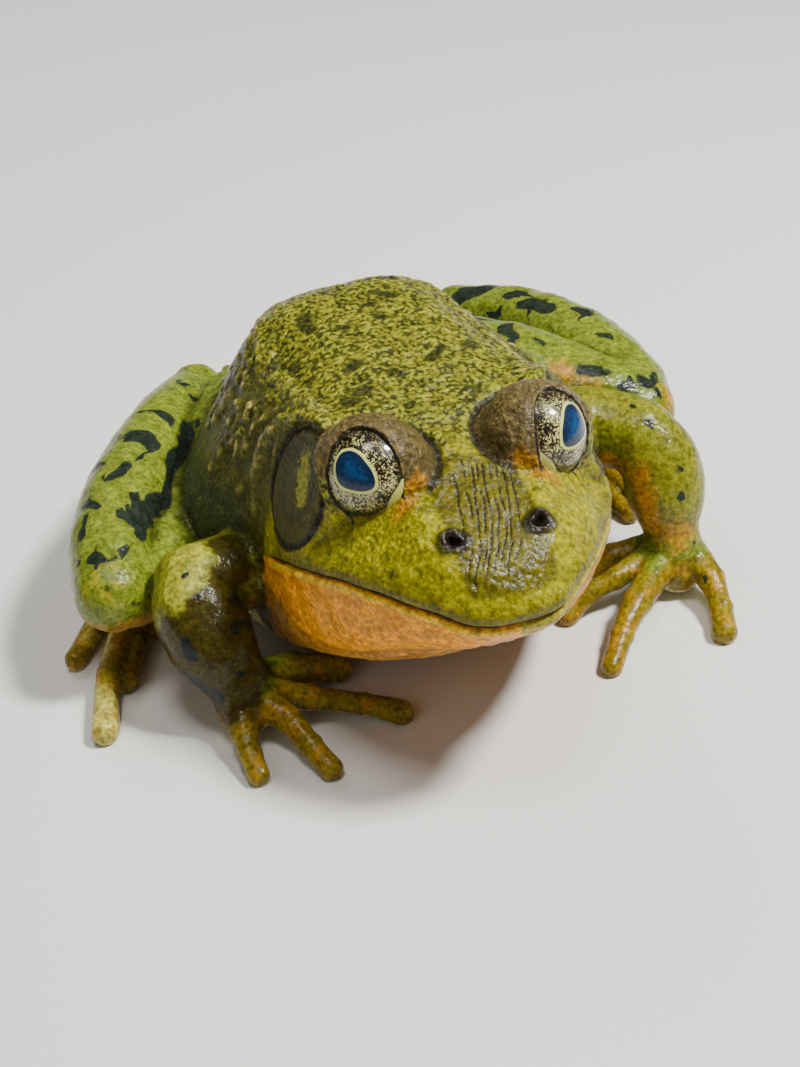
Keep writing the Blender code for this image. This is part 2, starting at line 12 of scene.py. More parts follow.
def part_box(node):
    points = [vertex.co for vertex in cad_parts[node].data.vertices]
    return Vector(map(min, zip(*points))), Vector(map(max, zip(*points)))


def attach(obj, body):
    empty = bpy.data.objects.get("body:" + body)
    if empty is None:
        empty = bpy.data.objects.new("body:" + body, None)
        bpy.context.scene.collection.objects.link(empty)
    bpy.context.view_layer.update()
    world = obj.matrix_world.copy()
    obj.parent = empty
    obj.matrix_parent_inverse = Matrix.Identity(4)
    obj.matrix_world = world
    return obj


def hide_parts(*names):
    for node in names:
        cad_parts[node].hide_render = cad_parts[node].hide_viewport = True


bl_info = {
    "name": "Green frog",
    "version": (1, 0, 0),
    "blender": (4, 5, 0),
    "location": "3D View > Sidebar > Frog",
    "description": "Builds the skin, eyes and stage of a life-size green frog",
    "category": "Object",
}

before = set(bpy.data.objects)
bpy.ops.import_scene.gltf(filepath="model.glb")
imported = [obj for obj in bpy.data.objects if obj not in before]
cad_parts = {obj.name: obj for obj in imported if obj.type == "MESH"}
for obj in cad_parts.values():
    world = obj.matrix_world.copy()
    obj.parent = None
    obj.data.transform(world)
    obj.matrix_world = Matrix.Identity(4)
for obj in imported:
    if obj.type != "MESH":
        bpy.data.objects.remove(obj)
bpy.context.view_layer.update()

# ---------------------------------------------------------------- the frog's form, in millimetres
# The straight body faces -Y with its left side at +X.  Head and neck are then turned a little.
MM = 0.001
HEAD_TURN = 4.5                 # degrees that the snout is turned to the frog's right
TURN_CENTRE = (0, -32)
TURN_FROM, TURN_TO = 12, -12    # stations y at which the turn starts and is full

# Station y, height of the back, five (x, z) points down the left side, height of the belly.
SECTIONS = (
    (-46.8, 26.0, (0.9, 26.0), (1.6, 25.7), (2.2, 25.1), (2.4, 24.4), (1.6, 23.6), 23.4),
    (-45.9, 28.0, (1.9, 27.9), (3.6, 27.3), (4.9, 26.1), (5.2, 24.4), (4.0, 22.6), 22.0),
    (-43.8, 29.9, (2.8, 29.8), (5.1, 29.1), (7.1, 27.1), (7.7, 24.4), (6.0, 21.0), 20.2),
    (-40.5, 31.5, (3.8, 31.4), (6.9, 30.9), (10.1, 28.0), (11.0, 24.4), (8.8, 19.0), 17.6),
    (-35.5, 33.3, (4.4, 33.2), (7.8, 33.0), (12.9, 29.2), (14.8, 23.6), (12.8, 15.4), 14.0),
    (-29.0, 35.0, (4.6, 35.0), (8.6, 35.2), (15.4, 30.0), (18.2, 22.4), (15.6, 11.6), 10.8),
    (-23.0, 36.0, (5.6, 36.0), (10.6, 35.6), (16.9, 29.8), (19.8, 20.8), (17.6, 8.8), 8.4),
    (-17.0, 36.8, (6.6, 36.8), (12.0, 35.8), (17.2, 29.8), (20.4, 18.8), (18.6, 5.6), 5.2),
    (-10.0, 37.5, (7.0, 37.3), (12.8, 35.0), (18.2, 29.4), (21.8, 17.8), (19.8, 3.0), 2.8),
    (-3.0, 38.1, (7.0, 37.7), (13.2, 34.2), (19.4, 28.4), (24.6, 16.4), (21.6, 2.0), 1.8),
    (4.0, 38.2, (6.8, 37.9), (12.8, 34.6), (19.2, 27.6), (25.8, 15.2), (22.8, 1.6), 0.9),
    (12.0, 37.4, (6.2, 37.2), (11.2, 35.2), (17.4, 26.8), (24.2, 14.4), (20.8, 3.0), 0.2),
    (19.0, 33.6, (5.4, 33.4), (10.0, 31.0), (15.6, 23.4), (19.8, 13.4), (16.2, 1.8), -0.5),
    (26.0, 27.0, (4.6, 26.8), (8.2, 25.0), (12.4, 19.6), (14.8, 11.5), (11.4, 1.8), -0.5),
    (32.0, 19.0, (3.0, 18.8), (5.4, 17.4), (8.0, 14.5), (9.0, 9.8), (7.0, 4.0), 2.0),
)
RUMP_SHIFT = 1.6            # the rump lies this far to the left of the line of the front body
THROAT_SLACK = 3.4          # the slack throat hangs to the right: its left side is drawn in this far
BACK_FOLD = ((12.1, -17.0, 36.0, 0.9), (12.8, -10.0, 34.6, 1.1), (13.3, -3.0, 33.5, 1.1),
             (12.8, 4.0, 34.0, 1.1), (11.2, 12.0, 34.5, 1.0), (9.7, 18.0, 31.3, 0.7))
EAR_FOLD = ((12.4, -21.5, 36.1, 0.7), (13.4, -17.0, 36.0, 1.0), (15.4, -12.4, 33.9, 1.1),
            (18.2, -10.2, 30.2, 1.1), (19.6, -10.2, 26.2, 1.0), (20.4, -11.2, 22.0, 0.6))
MOUTH_LINE = ((-4.0, 13.6), (-17.6, 19.3), (-23.0, 21.9), (-28.5, 24.0), (-34.0, 25.4), (-39.5, 25.9),
              (-43.5, 25.4), (-46.6, 24.5), (-52.0, 23.4))

EYE_CENTRE = (9.5, -26.5, 34.1)
EYE_RADIUS = 5.6
EYE_OPENING_AXIS = (0.46, -0.84, 0.28)
PUPIL_AXIS = (0.65, -0.60, 0.47)
# Outline of the pupil, forward and up from the axis: round behind, drawn to a corner in front.
PUPIL = ((-1.62, 0.10), (-1.60, 0.95), (-1.30, 1.65), (-0.40, 2.12), (0.70, 2.00), (1.80, 1.30),
         (2.70, 0.45), (3.12, -0.40), (3.15, -1.10), (2.75, -1.58), (1.90, -1.88), (0.70, -1.95),
         (-0.40, -1.80), (-1.15, -1.20))

EAR_CENTRE = (16.8, -20.5, 30.1)
EAR_NORMAL = (0.9, -0.06, 0.43)
EAR_RADIUS = 7.1

NOSTRIL = (4.9, -39.95, 32.75)

# Limb segments, each a run of (x, y, z, radius) from the body outwards.
LIMBS = {
    "upper_arm_left": ((14, -4, 17.4, 6.0), (23, -5, 19.0, 5.6), (28.6, -7, 19.2, 5.1),
                       (32, -11, 19.2, 4.7)),
    "forearm_left": ((32, -11, 19.2, 4.7), (33.6, -13.4, 16, 5.1), (33.6, -15.4, 11.8, 4.9),
                     (33.4, -17, 7.6, 3.4)),
    "upper_arm_right": ((-14, -5, 12.4, 5.6), (-21, -8, 13.2, 5.1), (-27.8, -10.4, 14.8, 4.7)),
    "forearm_right": ((-27.8, -10.4, 14.8, 4.7), (-28.3, -13.2, 12.8, 5.4), (-27.4, -16.8, 9.2, 5.2),
                      (-26, -20, 5.8, 3.7)),
    "thigh_left": ((7, 26, 15, 7.4), (14, 20, 17.6, 8.4), (23.4, 10, 19, 7.8), (32, 0, 18.8, 5.8),
                   (36, -3.6, 18.2, 4.6)),
    "shank_left": ((36, -3.6, 18.2, 4.6), (37.2, 3.6, 18.3, 5.2), (36.2, 14.6, 18.7, 5.5),
                   (33, 26.8, 18, 4.8), (27, 37, 16.4, 3.9)),
    "ankle_left": ((27, 37, 16.4, 3.8), (29.4, 31.5, 10, 3.0), (30.8, 24.5, 4.6, 2.9)),
    "thigh_right": ((-7, 27, 14, 7.4), (-14, 20, 12.6, 7.6), (-22, 11, 11.0, 6.4), (-31, -0.4, 10.6, 5.2),
                    (-36.6, -5.6, 13.0, 4.8)),
    "shank_right": ((-36.6, -5.6, 13.3, 4.8), (-34.2, 3.0, 15.0, 5.3), (-28.6, 13.2, 16.0, 5.4),
                    (-21.2, 25.0, 15.8, 4.8), (-13.8, 35.4, 14.4, 3.8)),
    "ankle_right": ((-13.8, 35.4, 14.6, 3.8), (-18.6, 28.4, 9, 3.0), (-24, 20, 4.6, 2.9)),
}
# Palms and heels, then fingers and toes, first to last, each from its root to its tip.
PALMS = {
    "hand_left": ((33.5, -17.2, 7.2, 3.7), (33.5, -18.8, 3.2, 3.4)),
    "hand_right": ((-26, -20, 5.8, 3.7), (-26, -21.6, 3.2, 3.4)),
    "foot_left": ((30.8, 24.5, 4.6, 2.9), (31.8, 21.5, 3.2, 2.7)),
    "foot_right": ((-24, 20, 4.6, 2.9), (-25, 17, 3.2, 2.7)),
}
DIGITS = {
    "hand_left": (
        ((32, -15.4, 4.6, 2.2), (27, -13.6, 3.4, 1.8), (21.6, -12.6, 1.6, 1.5)),
        ((31.6, -17, 4.8, 2.0), (24.6, -18.6, 4.0, 1.4), (20.4, -18.7, 2.6, 1.3), (17.6, -19.4, 1.0, 1.4)),
        ((32, -18.4, 4.6, 2.2), (25, -24, 3.8, 1.8), (21, -27.6, 2.4, 1.4), (17.8, -31, 0.9, 1.4)),
        ((35.4, -18.4, 4.8, 2.3), (35.8, -23.4, 3.6, 1.7), (34.8, -27.6, 2.0, 1.5), (33.4, -31, 1.1, 1.7)),
    ),
    "hand_right": (
        ((-24.6, -19, 5.0, 2.3), (-18.6, -17.8, 3.8, 2.0), (-13, -17.6, 1.8, 1.8)),
        ((-23.4, -21.6, 4.6, 2.1), (-18.4, -23, 3.2, 1.5), (-12.6, -25.6, 2.0, 1.3), (-8.8, -28, 1.1, 1.6)),
        ((-24.2, -22.6, 4.2, 2.2), (-22, -26, 3.2, 1.6), (-20.8, -30, 2.0, 1.4), (-19.7, -33.6, 0.9, 1.5)),
        ((-26.6, -22, 4.2, 2.1), (-27.4, -25.6, 2.8, 1.6), (-27.6, -28.4, 1.8, 1.4),
         (-27.6, -31, 0.9, 1.4)),
    ),
    "foot_left": (
        ((29.2, 21.5, 3.6, 2.0), (28, 14, 2.4, 1.4), (27, 7.5, 1.0, 1.2)),
        ((30, 20.6, 3.6, 2.0), (30.6, 11, 2.2, 1.5), (31.4, 3, 1.0, 1.2)),
        ((30.8, 20, 3.6, 2.2), (33.4, 9, 2.2, 1.6), (35.4, -2.4, 1.0, 1.3)),
        ((31.6, 20, 3.6, 2.2), (36.2, 8, 2.2, 1.7), (39, -1, 1.8, 1.5), (40, -8, 1.0, 1.4)),
        ((32.2, 21, 3.6, 2.1), (37.2, 13, 2.2, 1.6), (41.6, 4, 1.0, 1.3)),
    ),
    "foot_right": (
        ((-22.6, 17.5, 3.6, 2.0), (-24.6, 11, 2.4, 1.4), (-26.6, 5, 1.0, 1.2)),
        ((-23.6, 17, 3.6, 2.0), (-27.4, 9, 2.2, 1.5), (-31, 1, 1.0, 1.2)),
        ((-24.4, 17, 3.6, 2.2), (-30.8, 6, 2.2, 1.6), (-37.2, -7.6, 1.1, 1.5)),
        ((-25.2, 17.2, 3.6, 2.2), (-33, 5, 2.4, 1.8), (-39, -7, 2.2, 1.6), (-42, -16, 1.2, 1.7)),
        ((-25.4, 18.4, 3.6, 2.1), (-34, 10, 2.2, 1.6), (-42, -0.5, 1.1, 1.4)),
    ),
}
KNUCKLE = 1.12                  # swelling of the middle joints
WEB_HALF_THICKNESS = 0.4
WEB_REACH = 0.72                # share of the toes' length that the web reaches
WEB_SCALLOP = 0.16              # how far its free edge is drawn in

EYES = ("eye_left", "eye_right")
FLESH = sorted(set(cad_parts) - set(EYES))
HEAD = ("head", "lower_jaw", "tympanum")
ARMS = ("upper_arm", "forearm")
LEGS = ("thigh", "shank", "ankle")

CURVE_STEPS = 6                 # points that a smooth curve has between two given ones
BODY_SPACING = 0.4              # spacing of the body's points before the limbs are joined on
BODY_SMOOTHING = 18             # passes that smooth the body before the limbs are joined on
SOCKET_FLESH = 0.8              # flesh round an eyeball before its socket is hollowed
SOCKET_REACH = 6                # the cheek is hollowed for the eye out to this far from the eyeball
SOCKET_DEPTH, CHEEK_COVER = 0.7, 0.4    # the body's surface under and over the eyeball's own
SOCKET_RIM = 0.09               # radians past the lids' opening where the socket ends
LID_WALL, LID_COVER = 0.5, 0.3  # the lids' inside under and their rim over the eyeball's own surface
UPPER_LID_COVER = 0.25          # how much more the upper lid's rim stands out
LID_SIDES, EYE_SIDES = 96, 128  # points round the lids and the eyeballs
CORNEA_BULGE = 0.18
IRIS_MIDDLE = (0.9, -0.4)       # forward and up from the pupil's axis
THIN_STRENGTH = 0.05            # how strongly the head is spared when triangles are taken away
THIN_SHARE = 0.78               # of the wanted triangles, what is left before the finest places are refined
JOINT_REACH = 1.75              # a joint smooths the skin out to this many of its radii
JOINT_SMOOTHING, HAND_SMOOTHING = 40, 12    # passes at the joints, and that swell hands and feet
SPARE_LEAST = 0.12              # how far even the head gives up triangles
SPARE_HANDS = 0.35              # how much less hands, forearms and trunk give up than the legs
BUMP_DEPTH = 0.28               # depth of the finest grain, which only the light shows


# ---------------------------------------------------------------- settings a user would change
def srgb(hex_colour):
    """Linear RGBA of an sRGB hex colour."""
    channels = [int(hex_colour[i:i + 2], 16) / 255 for i in (0, 2, 4)]
    return (*[c / 12.92 if c <= 0.04045 else ((c + 0.055) / 1.055) ** 2.4 for c in channels], 1.0)


def colour(name, description, hex_colour):
    """A colour setting."""
    return FloatVectorProperty(name=name, description=description, subtype="COLOR", size=4,
                               min=0, max=1, default=srgb(hex_colour))


def millimetres(name, description, default, low, high):
    """A length setting in millimetres."""
    return FloatProperty(name=name, description=f"{description}, in millimetres", default=default,
                         min=low, max=high, unit="NONE", precision=2)


class FrogSizes(bpy.types.PropertyGroup):
    """Sizes of the skin's detail."""
    fineness: millimetres("Fineness", "Spacing of the skin's points while it is shaped", 0.27, 0.2, 1.0)
    tubercle: millimetres("Tubercle", "Middle radius of the tubercles on the flanks", 0.72, 0.2, 2.0)
    tubercle_gap: millimetres("Tubercle spacing", "Least distance between two tubercles", 0.85, 0.3, 5.0)
    granule: millimetres("Granule", "Width of the fine granules on back and lids", 0.55, 0.1, 2.0)
    crease: millimetres("Crease depth", "Depth of the mouth line and skin creases", 0.28, 0.0, 1.0)
    triangles: IntProperty(name="Triangles", description="Triangles of the finished skin",
                           default=192000, min=20000, max=199000)
    seed: IntProperty(name="Seed", description="Seed of everything scattered at random", default=7)


class FrogColours(bpy.types.PropertyGroup):
    """Colours of the skin, the eyes and the stage."""
    back: colour("Back", "Olive green of back and head", "7E7E1E")
    back_dark: colour("Back, dark", "Dark olive between the granules of the back", "262808")
    flank: colour("Flank", "Dark olive of the flanks", "4C4A16")
    # Also painted as shade on the throat's underside.
    flank_low: colour("Lower flank", "Blue-green of the lower flanks", "3A4A3A")
    cheek: colour("Cheek", "Yellow-green of cheeks and upper lip", "8C8600")
    # Also painted as shade in a band just above the mouth line.
    snout: colour("Snout", "Brown-olive on top of the snout", "40380A")
    lid: colour("Eyelid", "Brown of the upper eyelids", "5A4A2A")
    rust: colour("Rust", "Gold-brown in front of the eyelids", "A06A00")
    throat: colour("Throat", "Yellow of a male's throat", "E09000")
    lip: colour("Lower lip", "Pale yellow of the lower lip", "C4A61C")
    ear: colour("Ear disc", "Grey-brown of the ear discs", "3A3412")
    ear_rim: colour("Ear rim", "Dark rim of the ear discs", "1C180C")
    ear_spot: colour("Ear spot", "Yellow-green middle of the ear discs", "8E8C22")
    limb: colour("Limbs", "Yellow-green of arms and legs", "68741E")
    # Also painted as shade in the crease along the right shank's inner edge.
    bar: colour("Bars", "Blue-black of the bars and blotches", "141C1C")
    spot: colour("Spots", "Brown-olive of the back's blotches", "242608")
    elbow: colour("Elbow", "Pale yellow-green patch of the elbow", "8A8A28")
    orange: colour("Orange", "Orange-yellow inside the limbs", "A07010")
    # Partly the arms' own dusky colour, partly painted shade on the right arm.
    arm_shade: colour("Dusky arms", "Dark brown of the arms' dusky patches", "2E2206")
    digit: colour("Digits", "Olive-tan of fingers and toes", "74640E")
    belly: colour("Belly", "Cream of the underside", "D0C890")
    # On the flanks' tubercles, partly a painted highlight on their tips.
    tip: colour("Tubercle tips", "Tan tips of tubercles and folds", "B4A456")
    # Inside the nostrils it is painted shade.
    line: colour("Lines", "Brown-black of the mouth line and creases", "1A1206")
    # The pupil's blue, deep at its edge and clearer in its middle, is a painted sky reflection.
    pupil: colour("Pupil", "Deep blue of the pupil's edge", "031A34")
    pupil_sky_reflection: colour("Pupil, middle", "Clearer blue in the pupil's middle", "0A4474")
    ring: colour("Ring", "Pale gold ring round the pupil", "C4C86A")
    iris: colour("Iris", "Cream ground of the iris", "B8B070")
    iris_gold: colour("Iris, gold", "Gold-brown clouds of the iris", "8C6A28")
    # Also painted as shade over the iris's edge, under the lids.
    iris_net_and_lid_shade: colour("Iris net", "Dark brown net over the iris", "120C04")
    third_lid: colour("Third eyelid", "Cream-green third eyelid", "C4C864")
    floor: colour("Floor", "Plain pale floor", "DAD7D0")


# ---------------------------------------------------------------- curves and turns
def through(points, steps):
    """Points of a smooth curve through the given ones, steps of them to each span."""
    p = np.array(points, float)
    p = np.vstack((2 * p[0] - p[1], p, 2 * p[-1] - p[-2]))
    run = []
    for a, b, c, d in zip(p, p[1:], p[2:], p[3:]):
        for t in np.arange(steps) / steps:
            run.append(0.5 * (2 * b + (c - a) * t + (2 * a - 5 * b + 4 * c - d) * t ** 2
                              + (3 * b - a - 3 * c + d) * t ** 3))
    run.append(p[-2])
    return np.array(run)


def turn_angle(y):
    """How far the body is turned at a station, in radians."""
    share = np.clip((TURN_FROM - y) / (TURN_FROM - TURN_TO), 0, 1)
    return np.radians(HEAD_TURN) * share * share * (3 - 2 * share)


def turned(points):
    """Points of the straight body, turned with the head as far as they lie forward."""
    p = np.array(points, float)
    angle = turn_angle(p[..., 1])
    x, y = p[..., 0] - TURN_CENTRE[0], p[..., 1] - TURN_CENTRE[1]
    p[..., 0] = TURN_CENTRE[0] + x * np.cos(angle) + y * np.sin(angle)
    p[..., 1] = TURN_CENTRE[1] + y * np.cos(angle) - x * np.sin(angle)
    return p


def straightened(points):
    """The inverse of turned()."""
    p = np.array(points, float)
    x, y = p[:, 0] - TURN_CENTRE[0], p[:, 1] - TURN_CENTRE[1]
    station = p[:, 1].copy()
    for _ in range(6):
        angle = turn_angle(station)
        station = TURN_CENTRE[1] + x * np.sin(angle) + y * np.cos(angle)
    p[:, 0] = TURN_CENTRE[0] + x * np.cos(angle) - y * np.sin(angle)
    p[:, 1] = station
    return p


def unit(v):
    """Vectors scaled to length 1."""
    v = np.asarray(v, float)
    return v / np.maximum(np.linalg.norm(v, axis=-1, keepdims=True), 1e-12)


def facing(normal):
    """Rows x, y and z of a frame whose z is a normal and whose y is upward."""
    z = unit(normal)
    x = unit(np.cross((0, 0, 1), z))
    return np.array((x, np.cross(z, x), z))


def ramp(low, high, value):
    """Smooth step from 0 at low to 1 at high; low may be the larger one."""
    t = np.clip((value - low) / (high - low), 0, 1)
    return t * t * (3 - 2 * t)


def bell(value, width):
    """Smooth bump of height 1 round 0."""
    return np.exp(-(value / width) ** 2)


def along(path, value, axis=1):
    """A path's other coordinates, where its coordinate on an axis has the given values."""
    p = np.array(path, float)
    p = p[np.argsort(p[:, axis])]
    return [np.interp(value, p[:, axis], p[:, k]) for k in range(p.shape[1]) if k != axis]


def fold_line(fold):
    """The corners of a fold, without their radii."""
    return [p[:3] for p in fold]


def rump_shift(y):
    """How far the body's middle lies to the left at a station."""
    return RUMP_SHIFT * ramp(-2, 14, y)


def sideways(x, y, z):
    """How far a section's point is moved to the left: the rump is off line, the throat slack."""
    mouth = along(MOUTH_LINE, y, axis=0)[0]
    slack = THROAT_SLACK * ramp(0.5, -7, z - mouth) * ramp(-8, -22, y) * np.clip(x / 9, 0, 1)
    return rump_shift(y) - slack


class Lumps:
    """Smooth noise between -1 and 1 that repeats only after 64 cells."""

    def __init__(self, seed):
        self.grid = np.random.default_rng(seed).uniform(-1, 1, (64, 64, 64))

    def at(self, points, size):
        """Noise at points, with lumps of about the given size."""
        q = points / size
        cell = np.floor(q).astype(int)
        t = q - cell
        t = t * t * (3 - 2 * t)
        total = 0
        for corner in np.ndindex(2, 2, 2):
            weight = np.prod(np.where(corner, t, 1 - t), axis=1)
            i, j, k = ((cell + corner) % 64).T
            total = total + weight * self.grid[i, j, k]
        return total


# ---------------------------------------------------------------- meshes and points
def shell(bm, rings):
    """Skin a run of rings, which turn anticlockwise about the way the run goes, and close its ends."""
    loops = [[bm.verts.new(p) for p in ring] for ring in rings]
    for near, far in zip(loops, loops[1:]):
        for i in range(len(near)):
            bm.faces.new((near[i - 1], near[i], far[i], far[i - 1]))
    bm.faces.new(loops[0][::-1])
    bm.faces.new(loops[-1])


def ball(bm, centre, radius):
    """Add a ball."""
    bmesh.ops.create_icosphere(bm, subdivisions=4, radius=radius, matrix=Matrix.Translation(Vector(centre)))


def tube(bm, path, sides=24):
    """Add a tapered round tube through (x, y, z, radius) points, with a ball on both ends."""
    run = through(path, CURVE_STEPS)
    tangents = unit(np.gradient(run[:, :3], axis=0))
    side = unit(np.cross(tangents[0], (0.3, 0.2, 1.0)))
    angles = np.arange(sides) * 2 * math.pi / sides
    rings = []
    for (*centre, radius), tangent in zip(run, tangents):
        side = unit(side - tangent * np.dot(side, tangent))
        other = np.cross(tangent, side)
        rings.append(np.array(centre) + radius * (np.outer(np.cos(angles), side)
                                                  + np.outer(np.sin(angles), other)))
    shell(bm, rings)
    for *centre, radius in (path[0], path[-1]):
        ball(bm, centre, radius)


def web(bm, toe, other):
    """Add the thin skin between two toes, scalloped at its free edge."""
    near, far = through(toe, 8), through(other, 8)
    last = int(WEB_REACH * (min(len(near), len(far)) - 1))
    share = np.arange(last + 1)[:, None] / last
    a, b = near[:last + 1, :3], far[:last + 1, :3]
    middle = (a + b) / 2
    middle = middle + (near[0, :3] - middle) * WEB_SCALLOP * share
    sheet = np.stack((a, middle, b), axis=1)
    lift = np.array((0, 0, WEB_HALF_THICKNESS))
    rings = [np.vstack((row + lift, row[::-1] - lift)) for row in sheet]
    part = bmesh.new()
    shell(part, rings)
    bmesh.ops.recalc_face_normals(part, faces=part.faces)
    mesh = bpy.data.meshes.new("web")
    part.to_mesh(mesh)
    part.free()
    bm.from_mesh(mesh)
    bpy.data.meshes.remove(mesh)


def as_object(name, bm):
    """Put a bmesh into a new object in the scene."""
    mesh = bpy.data.meshes.new(name)
    bm.to_mesh(mesh)
    bm.free()
    obj = bpy.data.objects.new(name, mesh)
    bpy.context.scene.collection.objects.link(obj)
    return obj


def baked(obj):
    """Replace an object's mesh by its evaluated one, and drop its modifiers."""
    bpy.context.view_layer.update()
    result = bpy.data.meshes.new_from_object(obj.evaluated_get(bpy.context.evaluated_depsgraph_get()))
    obj.modifiers.clear()
    old, obj.data = obj.data, result
    bpy.data.meshes.remove(old)
    return obj


def one_surface(obj, spacing):
    """Fuse everything in an object into one closed surface."""
    remesh = obj.modifiers.new("one_surface", "REMESH")
    remesh.mode = "VOXEL"
    remesh.voxel_size = spacing
    return baked(obj)


def read(items, name, width, kind):
    """A property of many mesh elements, as rows of numbers."""
    flat = np.empty(len(items) * width, kind)
    items.foreach_get(name, flat)
    return flat.reshape(-1, width)


def points_of(obj):
    """Vertex positions."""
    return read(obj.data.vertices, "co", 3, np.float32).astype(float)


def normals_of(obj):
    """Vertex normals."""
    return read(obj.data.vertex_normals, "vector", 3, np.float32).astype(float)


def place_points(obj, points):
    """Move the vertices."""
    obj.data.vertices.foreach_set("co", points.astype(np.float32).ravel())
    obj.data.update()


def edges_of(obj):
    """Pairs of joined vertices."""
    return read(obj.data.edges, "vertices", 2, np.int32)


def relaxed(values, edges, passes, share=0.5):
    """Values drawn towards the mean of their neighbours, as far as share says at each vertex."""
    values = np.array(values, float)
    columns = values.reshape(len(values), -1)
    i, j = edges[:, 0], edges[:, 1]
    count = len(values)
    degree = np.maximum(np.bincount(i, minlength=count) + np.bincount(j, minlength=count), 1)
    share = np.broadcast_to(np.asarray(share, float), (count,))
    for _ in range(passes):
        for k in range(columns.shape[1]):
            c = columns[:, k]
            total = np.bincount(i, c[j], count) + np.bincount(j, c[i], count)
            columns[:, k] = c + share * (total / degree - c)
    return columns.reshape(values.shape)


def mark(obj, name, values):
    """Store one number for each vertex."""
    stored = obj.data.attributes.get(name) or obj.data.attributes.new(name, "FLOAT", "POINT")
    stored.data.foreach_set("value", np.asarray(values, np.float32))


def offset():
    """Where the straight form's origin lies in the model, in millimetres, found from the eyes."""
    centres = [sum(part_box(node), Vector()) / 2 / MM for node in EYES]
    ours = turned([EYE_CENTRE, (-EYE_CENTRE[0], *EYE_CENTRE[1:])])
    return np.array(sum(centres, Vector()) / 2) - ours.mean(0)


# ---------------------------------------------------------------- the skin's form
def opening_angle(phi):
    """Half angle of the opening between the lids, for directions round its axis.

    Directions start at the rear of the eye and turn over its top.
    """
    lean, half_width, half_height = -0.15, 0.77, 1.12
    return 1 / np.sqrt((np.cos(phi - lean) / half_width) ** 2 + (np.sin(phi - lean) / half_height) ** 2)


def on_eye(axis, side, theta, phi, radius):
    """Points at angles theta from an axis of one eye, in directions phi round it."""
    theta, radius = (np.broadcast_to(value, phi.shape) for value in (theta, radius))
    local = np.stack((np.sin(theta) * np.cos(phi), np.sin(theta) * np.sin(phi), np.cos(theta)), 1)
    p = np.array(EYE_CENTRE) + (local * radius[:, None]) @ facing(axis)
    p[:, 0] *= side
    return turned(p)


def lid(bm, side):
    """Add the lids of one eye: a ball with a bowl for the eyeball inside a crisp rim."""
    phi = np.arange(LID_SIDES) * 2 * math.pi / LID_SIDES
    edge = opening_angle(phi)
    bowl = EYE_RADIUS - LID_WALL
    upper = ramp(-0.5, 0.6, np.sin(phi + 0.5))
    rim = EYE_RADIUS + LID_COVER + UPPER_LID_COVER * upper
    profile = [(edge * k / 6, bowl) for k in range(1, 7)]
    profile += [(edge, bowl + 0.5), (edge + 0.004, rim - 0.25), (edge + 0.02, rim - 0.08),
                (edge + 0.05, rim)]
    for k in range(1, 14):
        profile.append((edge + 0.05 + (math.pi - 0.03 - edge - 0.05) * k / 13,
                        rim + (EYE_RADIUS + 0.7 - rim) * min(k / 4, 1)))
    rings = [on_eye(EYE_OPENING_AXIS, side, theta, phi, radius) for theta, radius in profile]
    shell(bm, rings if side < 0 else [ring[::-1] for ring in rings])


def body_form():
    """Head and trunk as one smooth form, turned, with room for the eyes."""
    bm = bmesh.new()
    rings = []
    for y, top, *left, bottom in SECTIONS:
        outline = [(0, y, top), *[(x, y, z) for x, z in left], (0, y, bottom)]
        outline += [(-x, y, z) for x, z in reversed(left)]
        outline = [(x + sideways(x, y, z), y, z) for x, y, z in outline]
        count = len(outline)
        run = through([outline[i % count] for i in range(-1, count + 2)], CURVE_STEPS)
        rings.append(run[CURVE_STEPS:-CURVE_STEPS - 1].ravel())
    shell(bm, through(rings, CURVE_STEPS).reshape(-1, count * CURVE_STEPS, 3))
    for side in (1, -1):
        ball(bm, (EYE_CENTRE[0] * side, *EYE_CENTRE[1:]), EYE_RADIUS + SOCKET_FLESH)
        for fold in (BACK_FOLD, EAR_FOLD):
            tube(bm, [(x * side + rump_shift(y), y, z, radius) for x, y, z, radius in fold])
    body = one_surface(as_object("body", bm), BODY_SPACING)
    points = relaxed(points_of(body), edges_of(body), BODY_SMOOTHING)
    for side in (1, -1):
        centre = np.array((EYE_CENTRE[0] * side, *EYE_CENTRE[1:]))
        away = points - centre
        distance = np.linalg.norm(away, axis=1)
        local = (away / distance[:, None] * (side, 1, 1)) @ facing(EYE_OPENING_AXIS).T
        opening = opening_angle(np.arctan2(local[:, 1], local[:, 0]))
        past = np.arccos(np.clip(local[:, 2], -1, 1)) - SOCKET_RIM - opening
        cheek = CHEEK_COVER + 6 * np.maximum(past, 0) ** 1.5
        most = EYE_RADIUS + np.where(past < 0, -SOCKET_DEPTH, cheek)
        press = (distance > most) & (distance < EYE_RADIUS + SOCKET_REACH) & (past < 1)
        points[press] = centre + (away / distance[:, None] * most[:, None])[press]
    place_points(body, turned(points))
    return body


def whole_form(spacing):
    """The closed surface of the whole frog, before its skin gets any detail."""
    body = body_form()
    bm = bmesh.new()
    bm.from_mesh(body.data)
    bpy.data.objects.remove(body)
    for side in (1, -1):
        lid(bm, side)
    for path in LIMBS.values():
        tube(bm, path)
    for name, digits in DIGITS.items():
        tube(bm, PALMS[name])
        for digit in digits:
            tube(bm, digit, sides=20)
            for *centre, radius in digit[1:-1]:
                ball(bm, centre, radius * KNUCKLE)
        if name.startswith("foot"):
            for a, b in zip(digits, digits[1:]):
                web(bm, a, b)
    return one_surface(as_object("skin", bm), spacing)


def node_tree():
    """Search tree over the flesh nodes of the solids, and the node that each face is of."""
    start = offset()
    points, faces, owners = [], [], []
    for index, name in enumerate(FLESH):
        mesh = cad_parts[name].data
        first = len(points)
        points += [Vector(v.co) / MM - Vector(start) for v in mesh.vertices]
        faces += [[first + v for v in p.vertices] for p in mesh.polygons]
        owners += [index] * len(mesh.polygons)
    return BVHTree.FromPolygons(points, faces), np.array(owners)


def owners_of(points, tree, owners):
    """Index in FLESH of the node nearest to each point."""
    return owners[[tree.find_nearest(Vector(p))[2] for p in points]]


